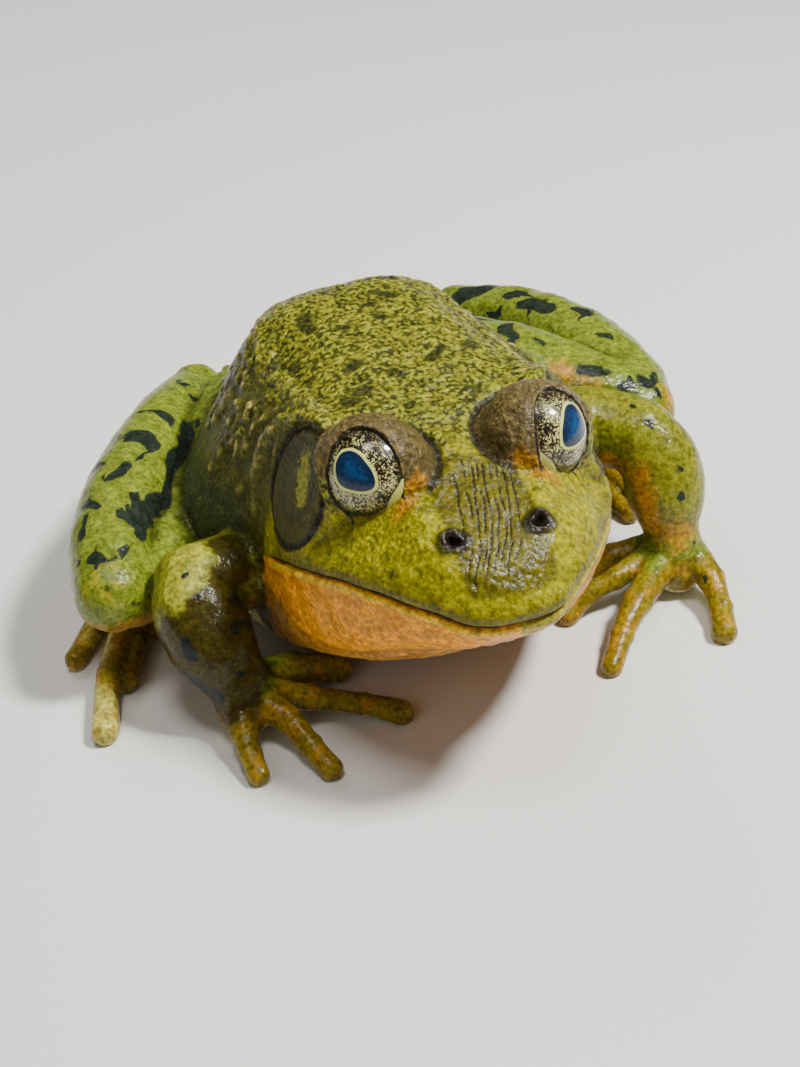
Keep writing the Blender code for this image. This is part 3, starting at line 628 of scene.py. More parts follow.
class Surface:
    """The skin's points, where each lies on the straight frog, and which solid it is nearest."""

    def __init__(self, obj, tree, owners):
        self.obj = obj
        self.edges = edges_of(obj)
        self.points = points_of(obj)
        self.normals = normals_of(obj)
        self.owner = owners_of(self.points, tree, owners)
        self.locate()

    def locate(self):
        """Work out the places on the straight frog and its left half, and from mouth, eye and ear."""
        self.straight = straightened(self.points)
        self.straight[:, 0] -= rump_shift(self.straight[:, 1])
        self.side = np.where(self.straight[:, 0] < 0, -1.0, 1.0)
        self.half = self.straight.copy()
        self.half[:, 0] = np.abs(self.half[:, 0])
        self.gap = mouth_gap(self.half)
        self.from_eye = self.half - EYE_CENTRE
        self.eye = np.linalg.norm(self.from_eye, axis=1)
        self.ear = ear_place(self.half)
        self.ear_reach = np.hypot(self.ear[:, 0], self.ear[:, 1])

    def on(self, *names, passes=4):
        """1 on the solids whose names start so, falling to 0 away from them."""
        chosen = np.array([name.startswith(names) for name in FLESH], float)[self.owner]
        return relaxed(chosen, self.edges, passes)

    def push(self, amount):
        """Raise the skin by an amount along its normals."""
        self.points += self.normals * np.broadcast_to(amount, self.owner.shape)[:, None]

    def move_half(self, half):
        """Put the points where they lie on the left half."""
        straight = half.copy()
        straight[:, 0] = straight[:, 0] * self.side + rump_shift(straight[:, 1])
        self.points = turned(straight)

    def smooth(self, passes, share=0.5):
        """Draw the points towards their neighbours."""
        self.points = relaxed(self.points, self.edges, passes, share)

    def write(self):
        """Give the points back to the object, and take the new normals."""
        place_points(self.obj, self.points)
        self.normals = normals_of(self.obj)


def from_line(points, *line):
    """Distance of points from a line through several corners."""
    nearest = np.full(len(points), 1e9)
    corners = np.array(line, float)
    for a, b in zip(corners, corners[1:]):
        run = b - a
        share = np.clip((points - a) @ run / (run @ run), 0, 1)
        nearest = np.minimum(nearest, np.linalg.norm(points - a - share[:, None] * run, axis=1))
    return nearest


def mouth_gap(half):
    """Height above the mouth line."""
    return half[:, 2] - along(MOUTH_LINE, half[:, 1], axis=0)[0]


def ear_place(half):
    """Coordinates on the ear disc, across, up and outwards."""
    return (half - EAR_CENTRE) @ facing(EAR_NORMAL).T


def nostril_reach(s):
    """Distance over the skin from the nearer nostril, a slit longer than wide."""
    return np.linalg.norm((ragged(s.half, 0.22) - NOSTRIL) * (0.8, 1.2, 0.6), axis=1)


# ---------------------------------------------------------------- the skin's relief
THROAT_FURROW = ((19.9, -20.0, 14.6), (19.4, -22.4, 13.8), (18.7, -24.8, 13.0), (16.0, -29.6, 13.8),
                 (12.8, -36.2, 17.0), (8.0, -40.5, 19.0), (0.0, -43.0, 20.0))
LIP_CREASE = ((-10.9, -37.9, 29.0), (-11.4, -38.3, 28.2), (-12.1, -38.6, 27.3), (-12.5, -38.2, 25.6))
SNOUT_CREASES = (-3.9, -2.9, -2.1, -1.4, -0.7, 0.0, 0.75, 1.5, 2.4)
SNOUT_COURSE = ((-45.0, -2.1), (-43.6, -1.7), (-41.5, -0.4), (-40.4, 0.0), (-38.0, 0.8), (-36.3, 1.2),
                (-33.5, 1.8), (-30.4, 2.5), (-28.9, 2.7))
# Heights and depths over the smooth form.
EAR_LEVEL, EAR_MIDDLE, EAR_GROOVE, EAR_RING = 0.15, 0.3, 0.5, 0.5
UPPER_LIP, LOWER_LIP = 0.28, 0.2
LID_MOAT, SNOUT_RIDGE, CHEEK_HOLLOW = 0.55, 0.5, 0.45
NOSTRIL_MOUND, NOSTRIL_RIM, NOSTRIL_DEPTH = 0.45, 0.12, 1.2
THROAT_FOLD = 0.55


def smooth_joints(s):
    """Run limbs into one another and the body at their joints; folded, they only touch."""
    a, b = s.owner[s.edges[:, 0]], s.owner[s.edges[:, 1]]
    limb = np.array([name.split("_")[-1] in ("left", "right") and not name.startswith("tympanum")
                     for name in FLESH])
    starts = np.array([path[0] for path in (*LIMBS.values(), *PALMS.values())], float)
    middles = s.points[s.edges[:, 0]]
    near = np.min([np.linalg.norm(middles - start[:3], axis=1) / start[3] for start in starts], axis=0)
    crossing = s.edges[(a != b) & (limb[a] | limb[b]) & (near < JOINT_REACH)]
    seam = np.zeros(len(s.points))
    seam[crossing.ravel()] = 1
    seam = np.clip(relaxed(seam, s.edges, 36) * 3.2, 0, 1)
    s.smooth(JOINT_SMOOTHING, 0.5 * seam)
    s.write()
    moved = relaxed(s.points, s.edges, HAND_SMOOTHING) - s.points
    outward = (moved * s.normals).sum(1) > 0
    s.points += moved * (outward * s.on("hand", "foot"))[:, None]
    s.write()


def tubercle_tree():
    """Node tree that scatters low domes over a mesh, where its attribute warty is high."""
    tree = bpy.data.node_groups.new("Tubercles", "GeometryNodeTree")
    tree.interface.new_socket("Geometry", in_out="INPUT", socket_type="NodeSocketGeometry")
    for name, kind in (("Spacing", "Float"), ("Radius", "Float"), ("Seed", "Int"), ("Skin", "Material")):
        tree.interface.new_socket(name, in_out="INPUT", socket_type=f"NodeSocket{kind}")
    tree.interface.new_socket("Geometry", in_out="OUTPUT", socket_type="NodeSocketGeometry")
    given = add(tree, "NodeGroupInput").outputs
    warty = add(tree, "GeometryNodeInputNamedAttribute", {"Name": "warty"}, data_type="FLOAT")
    points = add(tree, "GeometryNodeDistributePointsOnFaces", {
        "Mesh": given["Geometry"], "Distance Min": given["Spacing"], "Density Max": 3.0,
        "Density Factor": warty.outputs["Attribute"], "Seed": given["Seed"]}, distribute_method="POISSON")
    dome = add(tree, "GeometryNodeMeshUVSphere", {"Segments": 8, "Rings": 5, "Radius": given["Radius"]})
    low = add(tree, "GeometryNodeTransform", {"Geometry": dome.outputs[0], "Scale": (1.0, 1.0, 0.6)})
    size = add(tree, "FunctionNodeRandomValue", {2: 0.45, 3: 1.2, "Seed": given["Seed"]}, data_type="FLOAT")
    domes = add(tree, "GeometryNodeInstanceOnPoints", {
        "Points": points.outputs["Points"], "Instance": low.outputs[0],
        "Rotation": points.outputs["Rotation"], "Scale": size.outputs[1]})
    real = add(tree, "GeometryNodeRealizeInstances", {"Geometry": domes.outputs[0]})
    skinned = add(tree, "GeometryNodeSetMaterial", {"Geometry": real.outputs[0], "Material": given["Skin"]})
    add(tree, "NodeGroupOutput", {"Geometry": skinned.outputs[0]})
    return tree


def with_tubercles(obj, sizes, material):
    """Scatter tubercles on the skin and fuse them with it."""
    domes = bpy.data.objects.new("tubercles", obj.data.copy())
    bpy.context.scene.collection.objects.link(domes)
    scatter = domes.modifiers.new("tubercles", "NODES")
    scatter.node_group = tubercle_tree()
    values = {"Spacing": sizes.tubercle_gap, "Radius": sizes.tubercle, "Seed": sizes.seed, "Skin": material}
    for socket in scatter.node_group.interface.items_tree:
        if socket.name in values:
            scatter[socket.identifier] = values[socket.name]
    baked(domes)
    bm = bmesh.new()
    bm.from_mesh(obj.data)
    bm.from_mesh(domes.data)
    for old in (obj, domes):
        bpy.data.objects.remove(old)
    return one_surface(as_object("skin", bm), sizes.fineness)


def warty_share(s):
    """How thickly the tubercles stand: on the flanks, along the folds and behind the ears."""
    x, y, z = s.half.T
    trunk = s.on("trunk", "head", passes=3)
    fold_x, fold_z = along(fold_line(BACK_FOLD), y)
    below = ramp(1.0, 4.0, np.hypot(np.maximum(x - fold_x, 0), np.maximum(fold_z - z, 0)))
    flank = below * ramp(12, 15, x) * ramp(21, 28, z) * ramp(-12.5, -9.5, y) * ramp(14, 4, y)
    flank *= ramp(-0.25, 0.25, Lumps(21).at(s.points, 3.5))
    right_fold = bell(from_line(s.straight, (-13.9, 9, 34.0), (-14.6, -2, 35.6), (-14.6, -12, 36.2)), 1.6)
    thigh = 0.35 * s.on("thigh", passes=3) * ramp(18, 30, y)
    return np.clip(trunk * (flank + 0.7 * right_fold) + thigh, 0, 1)


def broad_relief(s):
    """Shape the ear discs, lips, snout, throat and the muscles' soft lumps."""
    head = s.on(*HEAD)
    level = EAR_LEVEL + EAR_MIDDLE * bell(s.ear_reach, 2.2)
    level = level - EAR_GROOVE * bell(s.ear_reach - EAR_RADIUS + 0.1, 0.45)
    hold = head * ramp(EAR_RADIUS + 0.9, EAR_RADIUS + 0.1, s.ear_reach) * (np.abs(s.ear[:, 2]) < 4)
    s.ear[:, 2] += hold * (level - s.ear[:, 2])
    s.move_half(s.ear @ facing(EAR_NORMAL) + EAR_CENTRE)
    s.write()
    s.locate()
    near_ear = (np.abs(s.ear[:, 2]) < 3.5) * ramp(-2.5, 1.0, s.ear[:, 1])
    s.push(EAR_RING * head * bell(s.ear_reach - EAR_RADIUS - 0.9, 0.55) * near_ear)
    y, z = s.half.T[1:]
    lips = head * ramp(-14, -19, y)
    s.push(lips * (UPPER_LIP * bell(s.gap - 1.1, 0.9) + LOWER_LIP * bell(s.gap + 0.9, 0.6)))
    s.push(head * -LID_MOAT * bell(s.eye - 7.3, 0.6) * ramp(1, -3, s.from_eye @ (0.64, -0.5, -0.2)))
    s.push(head * SNOUT_RIDGE * bell(from_line(s.half, (7.6, -33.2, 33.8), (5.0, -39.0, 32.2)), 1.1))
    s.push(head * -CHEEK_HOLLOW * bell(from_line(s.half, (10.5, -33.5, 29.8), (8.0, -38.5, 28.6)), 1.9))
    s.push(head * NOSTRIL_MOUND * bell(nostril_reach(s), 1.3))
    s.push(-THROAT_FOLD * head * bell(from_line(s.half, *THROAT_FURROW), 0.7))
    lumps, grains = Lumps(11), Lumps(12)
    soft = 1 - np.clip(s.on("tympanum", passes=3) + 0.6 * s.on("hand", "foot", passes=6), 0, 1)
    s.push(soft * (0.16 * lumps.at(s.points, 2.6) + 0.07 * grains.at(s.points, 1.2)))
    back = s.on("trunk", "head", passes=6) * ramp(24, 30, z)
    s.push(back * soft * (0.12 * grains.at(s.points + 20, 0.8)))
    throat = head * ramp(0.0, -0.8, s.gap)
    s.push(throat * (0.1 * grains.at(s.points * (1, 1, 2.2), 1.1)
                     + 0.12 * lumps.at(s.points * (1, 1, 2), 3.0)))
    s.write()


def thinned(obj, weights, triangles, strength):
    """Take triangles away where they say least, and last of all where the weights are low."""
    group = obj.vertex_groups.new(name="spare")
    steps = 8
    levels = np.round(weights * steps).astype(int)
    for level in range(steps + 1):
        chosen = np.flatnonzero(levels == level).tolist()
        if chosen:
            group.add(chosen, max(level / steps, 0.01), "REPLACE")
    obj.data.calc_loop_triangles()
    thin = obj.modifiers.new("thinned", "DECIMATE")
    thin.ratio = triangles / len(obj.data.loop_triangles)
    thin.vertex_group = group.name
    thin.vertex_group_factor = strength
    thin.use_collapse_triangulate = True
    baked(obj)
    obj.vertex_groups.clear()


def refined(obj, wanted):
    """Halve the edges between points that are wanted finer."""
    bm = bmesh.new()
    bm.from_mesh(obj.data)
    bm.verts.ensure_lookup_table()
    fine = set(np.flatnonzero(wanted).tolist())
    edges = [e for e in bm.edges if e.verts[0].index in fine and e.verts[1].index in fine]
    bmesh.ops.subdivide_edges(bm, edges=edges, cuts=1, use_grid_fill=False)
    bmesh.ops.triangulate(bm, faces=[f for f in bm.faces if len(f.verts) > 3])
    bm.to_mesh(obj.data)
    bm.free()


def fine_places(s):
    """Where the skin's detail is finest: snout top, mouth line, nostrils, lids and ear rims."""
    x, y, z = s.half.T
    snout = (x < 5.6) & (y < -28.5) & (z > 28)
    mouth = (np.abs(s.gap) < 0.75) & (y < -15)
    nostril = nostril_reach(s) < 1.7
    lid_edge = (s.eye > 5.2) & (s.eye < 6.6) & (s.from_eye @ unit(EYE_OPENING_AXIS) > 1.2)
    rim = (np.abs(s.ear_reach - EAR_RADIUS + 0.2) < 0.8) & (np.abs(s.ear[:, 2]) < 1.5)
    return (s.on(*HEAD, passes=1) > 0.5) & (snout | mouth | nostril | lid_edge | rim)


def snout_line(s, width):
    """1 on the fine lengthwise creases of the snout, 0 between them."""
    x, y, z = s.straight.T
    shift = np.interp(y, *np.array(SNOUT_COURSE).T)
    nearest = np.full(len(x), 9.0)
    for number, start in enumerate(SNOUT_CREASES):
        wander = Lumps(30 + number)
        along_it = np.stack((np.full(len(y), number), y, np.zeros(len(y))), 1)
        line = start + 0.2 * wander.at(along_it, 2.1)
        faint = np.maximum(0.5 * wander.at(along_it + 7, 2.4) - 0.1, 0) * 0.4
        faint += 0.5 * ramp(-43.6, -45.0, y + 1.0 * math.sin(5 * start))
        faint += 0.5 * ramp(-31.0, -29.2, y + 1.4 * math.sin(9 * start))
        nearest = np.minimum(nearest, np.abs(x - shift - line) + faint)
    ends = ramp(-45.6, -44.0, y) * ramp(-27.5, -30.0, y) * ramp(27.5, 29, z) * s.on("head")
    return ends * bell(nearest, width)


def fine_relief(s, sizes):
    """Cut the mouth line, nostrils, creases and the finest grain."""
    deep = sizes.crease
    head = s.on(*HEAD)
    s.push(-1.5 * deep * head * ramp(-15.5, -18.5, s.half[:, 1]) * bell(s.gap, 0.26))
    nostril = nostril_reach(s)
    s.push(head * (NOSTRIL_RIM * bell(nostril - 1.2, 0.5) - NOSTRIL_DEPTH * ramp(0.9, 0.3, nostril)))
    s.push(-0.35 * deep * snout_line(s, 0.14))
    s.push(-0.8 * deep * head * bell(from_line(s.straight, *LIP_CREASE), 0.22))
    grains = Lumps(13)
    granular = s.on("trunk", "head", passes=6) * ramp(22, 27, s.half[:, 2])
    s.push(granular * (1 - s.on("tympanum", passes=2)) * 0.05 * grains.at(s.points, sizes.granule))
    s.points[:, 2] = np.maximum(s.points[:, 2], 0)
    s.write()


def shaped_skin(sizes, material):
    """The finished form of the skin, with a record of where its points lie."""
    tree, owners = node_tree()
    skin = whole_form(sizes.fineness)
    s = Surface(skin, tree, owners)
    smooth_joints(s)
    mark(skin, "warty", warty_share(s))
    skin = with_tubercles(skin, sizes, material)
    s = Surface(skin, tree, owners)
    s.smooth(1, 0.4)
    s.write()
    broad_relief(s)
    spare = SPARE_LEAST + (1 - SPARE_LEAST) * (1 - s.on(*HEAD, passes=20))
    spare = np.maximum(spare - SPARE_HANDS * s.on("hand", "forearm", "trunk", passes=10), SPARE_LEAST)
    thinned(skin, spare, sizes.triangles * THIN_SHARE, THIN_STRENGTH)
    s = Surface(skin, tree, owners)
    refined(skin, fine_places(s))
    s = Surface(skin, tree, owners)
    fine_relief(s, sizes)
    return s


# ---------------------------------------------------------------- the skin's markings
# Blotches and bars: a radius, then a run of (x, y, z).  Those of the back are on the straight frog.
BACK_BLOTCHES = (
    (1.0, (3.2, 6.6, 38), (3.9, 5.6, 38)), (0.8, (0.7, 4.4, 38), (1.2, 3.9, 38)),
    (0.7, (0.4, 0.7, 38), (1.0, 0.2, 38)), (1.1, (-7.1, 5.3, 38), (-7.6, 3.6, 38)),
    (0.8, (-7.2, 2.2, 38), (-7.6, 1.7, 38)), (0.7, (-4.7, -0.3, 38), (-4.2, -0.5, 38)),
    (0.9, (8.5, -8.0, 37.5), (8.2, -8.8, 37.5)), (0.9, (-6.2, -8.7, 38), (-6.7, -9.2, 38)),
    (0.8, (-2.8, -12.2, 37.5), (-2.3, -12.6, 37.5)), (1.0, (-13.2, 0.5, 36), (-13.5, -0.2, 36)),
    (1.0, (-11.0, -2.2, 37), (-11.3, -2.9, 37)), (0.8, (4.5, -9.3, 38), (2.2, -10.6, 38)),
    (1.0, (-6.4, -14.0, 37.3), (-7.0, -14.4, 37.3)), (0.8, (-8.7, -15.5, 37), (-9.1, -16, 37)),
    (0.8, (4.4, -17.9, 37), (4.9, -18.2, 37)), (0.7, (-2.4, -18.3, 37), (-2.9, -18.7, 37)),
    (1.0, (5.6, 12.5, 36.8), (6.4, 11.4, 36.8)), (0.9, (-2.0, 11.5, 37), (-2.8, 10.6, 37)),
    (1.1, (1.6, 17.5, 34), (2.3, 16.4, 34)), (1.0, (-6.2, 16.8, 33.4), (-6.6, 15.2, 34)),
    (1.0, (-1.4, 24.0, 28.6), (-0.8, 22.4, 30)), (0.9, (5.0, 22.6, 28.6), (5.6, 21, 29.5)),
)
LIMB_BLOTCHES_AND_CREASE_SHADE = (
    (1.5, (26.4, 34.3, 20.4), (30.1, 32.4, 21.6)), (0.9, (31.2, 27.6, 22.4), (32.6, 26.0, 22.6)),
    (1.3, (32.0, 22.9, 22.8), (33.4, 19.1, 23.3)), (0.6, (33.4, 19.1, 23.3), (33.8, 14.7, 23.7)),
    (0.7, (35.9, 24.4, 22.6), (36.9, 23.1, 22.8)), (0.8, (28.1, 27.4, 19.8), (28.6, 26.1, 19.9)),
    (0.7, (35.6, 16.1, 24.2), (37.9, 14.7, 23.9), (35.9, 12.1, 24.1)),
    (0.8, (35.9, 7.8, 23.8), (36.7, 6.4, 23.7)), (1.3, (38.9, 22.0, 20.5), (40.3, 18.0, 20.0)),
    (1.2, (40.6, 10.5, 19.5), (41.6, 6.0, 18.0)),
    (0.9, (30.9, 14.8, 22.6), (27.6, 9.0, 25.0), (26.3, 5.6, 25.9)),
    (0.9, (39.0, 1.5, 21.0), (41.2, 0.5, 18.6)), (1.0, (28.7, -1.2, 24.0), (31.8, -2.2, 24.0)),
    (0.6, (37.3, -6.2, 21.7), (37.6, -6.6, 21.4)), (0.6, (33.0, -4.9, 22.6), (34.6, -5.4, 22.2)),
    (1.5, (20.0, 18.0, 25.5), (22.5, 15.5, 26.5)), (1.4, (17.0, 24.0, 24.0), (14.5, 27.5, 21.5)),
    (0.9, (24.0, 12.0, 26.0), (22.4, 9.6, 26.4)), (0.6, (32.6, -4.2, 23.0), (33.0, -5.3, 22.4)),
    (0.6, (27.2, -11.2, 22.1), (27.6, -11.6, 22.1)), (0.6, (31.3, -13.9, 22.7), (31.6, -14.4, 22.4)),
    (0.5, (31.2, -10.6, 23.9), (31.6, -11.2, 23.8)), (0.6, (33.5, -18.0, 18.1), (33.7, -18.3, 17.5)),
    (0.6, (32.5, -19.3, 15.0), (33.5, -19.5, 15.2)), (0.8, (36.5, -10.5, 21.5), (38.0, -12.0, 19.0)),
    (0.7, (38.4, -15.5, 15.4), (38.2, -16.4, 13.6)), (0.5, (34.2, -20.6, 7.8), (34.6, -20.6, 7.4)),
    (0.5, (34.3, -24.0, 4.5), (33.6, -24.4, 4.4)),
    (0.7, (-18.4, 27.5, 20.0), (-17.2, 27.0, 19.4), (-16.2, 25.3, 19.2)),
    (0.9, (-24.4, 22.4, 20.2), (-22.8, 20.8, 20.9), (-21.1, 19.9, 20.2)),
    (0.9, (-29.6, 17.8, 20.1), (-27.7, 15.5, 21.4), (-25.4, 15.4, 21.1)),
    (1.2, (-26.1, 14.4, 21.1), (-25.1, 13.7, 20.6)), (0.9, (-33.7, 12.7, 19.4), (-32.7, 11.5, 20.5)),
    (0.9, (-33.1, 8.1, 20.9), (-31.2, 7.6, 20.9), (-29.4, 9.2, 21.0)),
    (0.9, (-36.3, 5.4, 19.5), (-35.4, 2.9, 20.2)),
    (0.45, (-29.0, 5.0, 19.4), (-31.7, 2.6, 19.8), (-34.6, -0.7, 19.5)),
    (0.5, (-37.0, 2.7, 19.6), (-39.0, -0.7, 17.9)),
    (1.2, (-31.6, 0.5, 18.8), (-29.2, 3.0, 17.9), (-27.4, 5.4, 17.7)),
    (0.45, (-25.1, 12.8, 20.2), (-27.8, 10.7, 20.9)),
    # Painted shade: these two runs darken the crease along the right shank's inner edge, against the thigh.
    (1.3, (-19.0, 19.6, 18.7), (-21.1, 15.4, 17.9), (-23.6, 11.6, 17.6)),
    (1.1, (-23.6, 11.6, 17.6), (-26.5, 6.3, 16.9), (-29.3, 1.9, 16.9), (-31.4, -1.5, 17.6)),
    (0.45, (-39.8, -3.3, 16.9), (-37.1, -5.2, 18.3), (-33.9, -3.9, 18.3)),
    (0.7, (-36.9, -5.7, 18.1), (-35.3, -6.8, 17.6)), (0.5, (-38.1, -9.1, 16.0), (-37.6, -9.2, 16.1)),
    (1.2, (-31.6, 20.0, 16.2), (-33.2, 17.6, 16.4)), (1.2, (-28.0, 27.0, 15.6), (-26.4, 29.4, 15.8)),
    (1.2, (-38.6, 8.6, 13.6), (-39.6, 5.0, 13.0)), (1.1, (-22.4, 30.6, 13.2), (-19.8, 33.2, 14.2)),
    (0.6, (-29.1, -13.5, 18.5), (-29.3, -13.8, 18.3)),
    (0.7, (-28.4, -17.1, 16.5), (-26.4, -16.8, 15.6), (-23.9, -15.8, 15.0)),
    (0.9, (-25.1, -19.0, 13.6), (-23.5, -18.2, 12.5)), (0.8, (-31.0, -19.3, 12.8), (-30.6, -20.0, 11.4)),
    (0.9, (-32.0, -18.5, 8.2), (-30.6, -20.6, 7.0), (-29.0, -22.1, 6.3)),
    (0.7, (-26.6, -21.6, 9.4), (-25.2, -21.8, 8.0)), (1.0, (-40.6, -8.0, 4.0), (-40.4, -7.0, 2.0)),
    (0.8, (-37.1, -7.7, 3.4), (-37.0, -6.6, 2.0)),
)
HEAD_SPOTS = ((-0.7, -28.5, 35.1, 0.7), (-3.5, -31.3, 34.4, 0.9), (-3.0, -29.8, 34.8, 0.7),
              (-5.9, -35.1, 33.4, 1.0), (4.6, -33.9, 33.7, 0.9), (-14.6, -30.5, 29.2, 1.1),
              (-13.2, -31.6, 28.6, 0.9), (7.4, -30.2, 34.9, 0.9), (6.2, -35.6, 32.9, 0.7))
ELBOW_PATCH = ((-27.2, -10.0, 19.4), (-29.2, -12.6, 18.8), (-30.0, -15.4, 17.2))
# Broad dark patches on the right arm: partly its own dusky colour, partly painted shade.
ARM_SHADES = (
    (3.2, (-22.4, -9.6, 18.4), (-23.0, -12.8, 17.4), (-25.2, -16.4, 16.2)),
    (4.2, (-31.4, -17.4, 12.0), (-30.0, -20.4, 9.0), (-27.6, -22.2, 6.4)),
    (4.4, (-25.1, -19.0, 13.6), (-24.0, -20.4, 9.0)), (4.0, (-28.0, -18.6, 14.4), (-27.0, -21.0, 9.0)),
)


def inside(distance, radius):
    """1 in the middle of a mark, 0 at its edge and below 0 beyond it."""
    return 1 - distance / radius


def blotches(points, marks, flat=(1, 1, 1)):
    """Field that is above 0 inside any of the marks."""
    field = np.full(len(points), -3.0)
    for radius, *line in marks:
        field = np.maximum(field, inside(from_line(points * flat, *(np.array(line) * flat)), radius))
    return field


def ragged(points, reach):
    """Points drawn aside by noise, so that marks measured at them get uneven outlines."""
    aside = [Lumps(50 + axis).at(points, 2.4) + 0.5 * Lumps(60 + axis).at(points, 1.1) for axis in range(3)]
    return points + reach * np.stack(aside, 1)


def around(points, centre, radius):
    """1 at a centre, 0 at a distance from it and below 0 beyond."""
    return inside(np.linalg.norm(points - centre, axis=1), radius)


def mark_regions(s):
    """Mark the body's regions: limbs, flanks, belly and the folds along the back."""
    x, y, z = s.half.T
    trunk = s.on("trunk", passes=8)
    body = np.clip(s.on(*HEAD, passes=3) + trunk, 0, 1)
    hands, feet = s.on("hand", passes=8), s.on("foot", passes=8)
    arms, legs = s.on(*ARMS, passes=12), s.on(*LEGS, passes=12)
    limbs = np.clip(arms + legs + hands + feet, 0, 1)
    mark(s.obj, "limb", limbs)
    mark(s.obj, "arm", arms)
    mark(s.obj, "digit", np.clip(hands * ramp(7.0, 5.2, z) + feet, 0, 1))
    mark(s.obj, "under", ramp(-0.1, -0.7, s.normals[:, 2]) * limbs)
    fold_z = along(fold_line(BACK_FOLD), y)[1]
    side_low = ramp(-0.5, 2.0, fold_z - z) * ramp(10.0, 12.5, x) * ramp(-17.5, -12.5, y)
    mark(s.obj, "flank", body * side_low)
    mark(s.obj, "flank_low", trunk * ramp(27, 20, z))
    mark(s.obj, "belly", trunk * ramp(11, 6, z))
    folds = np.maximum(bell(from_line(s.half, *fold_line(BACK_FOLD)), 1.5),
                       bell(from_line(s.half, *fold_line(EAR_FOLD)), 1.3))
    mark(s.obj, "fold", folds * body)

    # Height over the smoothed skin: the shader paints shade into the hollows with it, and a faint highlight
    # on the tips.
    level = ((s.points - relaxed(s.points, s.edges, 6)) * s.normals).sum(1)
    level = relaxed(level, s.edges, 1)
    mark(s.obj, "raised", level)
    # Tan on raised tubercles: partly their pale colour, partly a painted highlight on their tips.
    mark(s.obj, "warts", level * ramp(0.3, 0.8, body * side_low))
    head = s.on(*HEAD, passes=3)
    smooth = arms + legs + hands + feet + 0.7 * head * ramp(-36, -41, y)
    mark(s.obj, "smooth", np.clip(smooth + 0.8 * head * below_mouth(s), 0, 1))


def below_mouth(s):
    """1 below the mouth line, 0 above it."""
    return ramp(0.05, -0.2, s.gap)


def from_furrow(s):
    """Height over the furrow that runs round the throat."""
    return s.half[:, 2] - along(THROAT_FURROW, s.half[:, 1])[1]


def mark_face(s):
    """Mark cheeks, lips, throat, snout and nostrils."""
    x, y, z = s.half.T
    head, below = s.on(*HEAD, passes=3), below_mouth(s)
    mark(s.obj, "throat", head * below * ramp(-11.5, -17.5, y))
    # Painted shade: the throat's underside below its furrow, darkened towards the lower flanks' blue-green.
    mark(s.obj, "throat_low", head * below * ramp(0.4, -0.5, from_furrow(s)))
    lip = np.where(s.side > 0, ramp(-2.9, -2.0, s.gap), bell(s.gap + 0.75, 0.55))
    lip = lip * head * below * ramp(-15, -19, y)
    mark(s.obj, "lip", lip * (s.side < 0))
    mark(s.obj, "lip_left", lip * (s.side > 0))
    mark(s.obj, "cheek", head * (1 - below) * ramp(35.0, 31.0, z + 0.3 * (x - 9)) * ramp(-13, -17, y))
    # Painted shade: a darker band just above the mouth line, on both sides of the head.
    mark(s.obj, "mouth_shade", head * (1 - below) * ramp(3.6, 0.6, s.gap) * ramp(-16, -20, y))
    mark(s.obj, "snout", head * ramp(6.4, 4.4, x) * ramp(-27, -30, y) * ramp(26.5, 28.5, z))
    mark(s.obj, "snout_line", snout_line(s, 0.13))
    nostril = nostril_reach(s)
    # Painted shade: the inside of each nostril is painted in the lines' brown-black.
    mark(s.obj, "nostril", head * ramp(1.45, 0.95, nostril))
    below_it = from_line(s.half, np.array(NOSTRIL) - (0, 0, 0.3), np.array(NOSTRIL) - (0, 0.6, 1.8))
    mark(s.obj, "nostril_rim", head * np.maximum(ramp(2.4, 1.3, nostril), 0.8 * bell(below_it, 1.2)))
    mouth = bell(s.gap, 0.15) * head * ramp(-15.5, -18, y)
    crease = bell(from_line(s.straight, *LIP_CREASE), 0.3)
    mark(s.obj, "line", np.clip(mouth + 0.6 * crease * head, 0, 1))
    spots = np.max([around(s.straight, spot[:3], spot[3]) for spot in HEAD_SPOTS], axis=0)
    mark(s.obj, "head_spot", np.where(head > 0.5, spots, -3))


def mark_eyes_and_ears(s):
    """Mark the lids, the rust in front of them and the ear discs."""
    head = s.on(*HEAD, passes=3)
    away, eye = s.from_eye, s.eye
    opening = away / np.maximum(eye, 1e-6)[:, None] @ facing(EYE_OPENING_AXIS).T
    turn = np.arctan2(opening[:, 1], opening[:, 0])
    past_rim = (np.arccos(np.clip(opening[:, 2], -1, 1)) - opening_angle(turn)) * EYE_RADIUS
    near_eye = head * (eye < 8.5) * (eye > 4.5)
    over_eye = ramp(-1.5, 0.8, away[:, 2] - 0.2 * away[:, 0] + 0.25 * (away[:, 1] + 1))
    mark(s.obj, "lid", near_eye * ramp(8.0, 6.9, eye) * over_eye)
    rust = inside(from_line(s.half, (5.6, -32.2, 35.2), (7.4, -33.0, 34.0), (8.6, -33.4, 31.8)), 1.9)
    mark(s.obj, "rust", head * np.clip(rust, 0, 1))
    mark(s.obj, "lid_line", near_eye * (eye < 6.7) * ramp(0.26, 0.06, np.abs(past_rim - 0.08)))
    low_fold = bell(past_rim - 0.62, 0.13) * ramp(0.0, -1.5, away[:, 2]) * (eye < 7.0)
    mark(s.obj, "low_lid", near_eye * low_fold)
    mark(s.obj, "lid_base", head * bell(eye - 7.35, 0.55) * ramp(1.0, -2.5, away @ (0.75, -0.35, -0.3)))

    on_ear = head * (np.abs(s.ear[:, 2]) < 2.5)
    mark(s.obj, "ear", on_ear * ramp(EAR_RADIUS + 0.35, EAR_RADIUS - 0.25, s.ear_reach))
    rim = bell(s.ear_reach - EAR_RADIUS + 0.1, 0.7)
    mark(s.obj, "ear_rim", on_ear * np.maximum(rim, 0.6 * bell(s.ear_reach - 0.55 * EAR_RADIUS, 0.9)))
    spot = from_line(s.half, (15.6, -19.8, 33.2), (16.2, -21.3, 31.8), (17.0, -22.4, 30.0))
    mark(s.obj, "ear_spot", np.where(on_ear > 0.5, inside(spot, 1.5), -3))


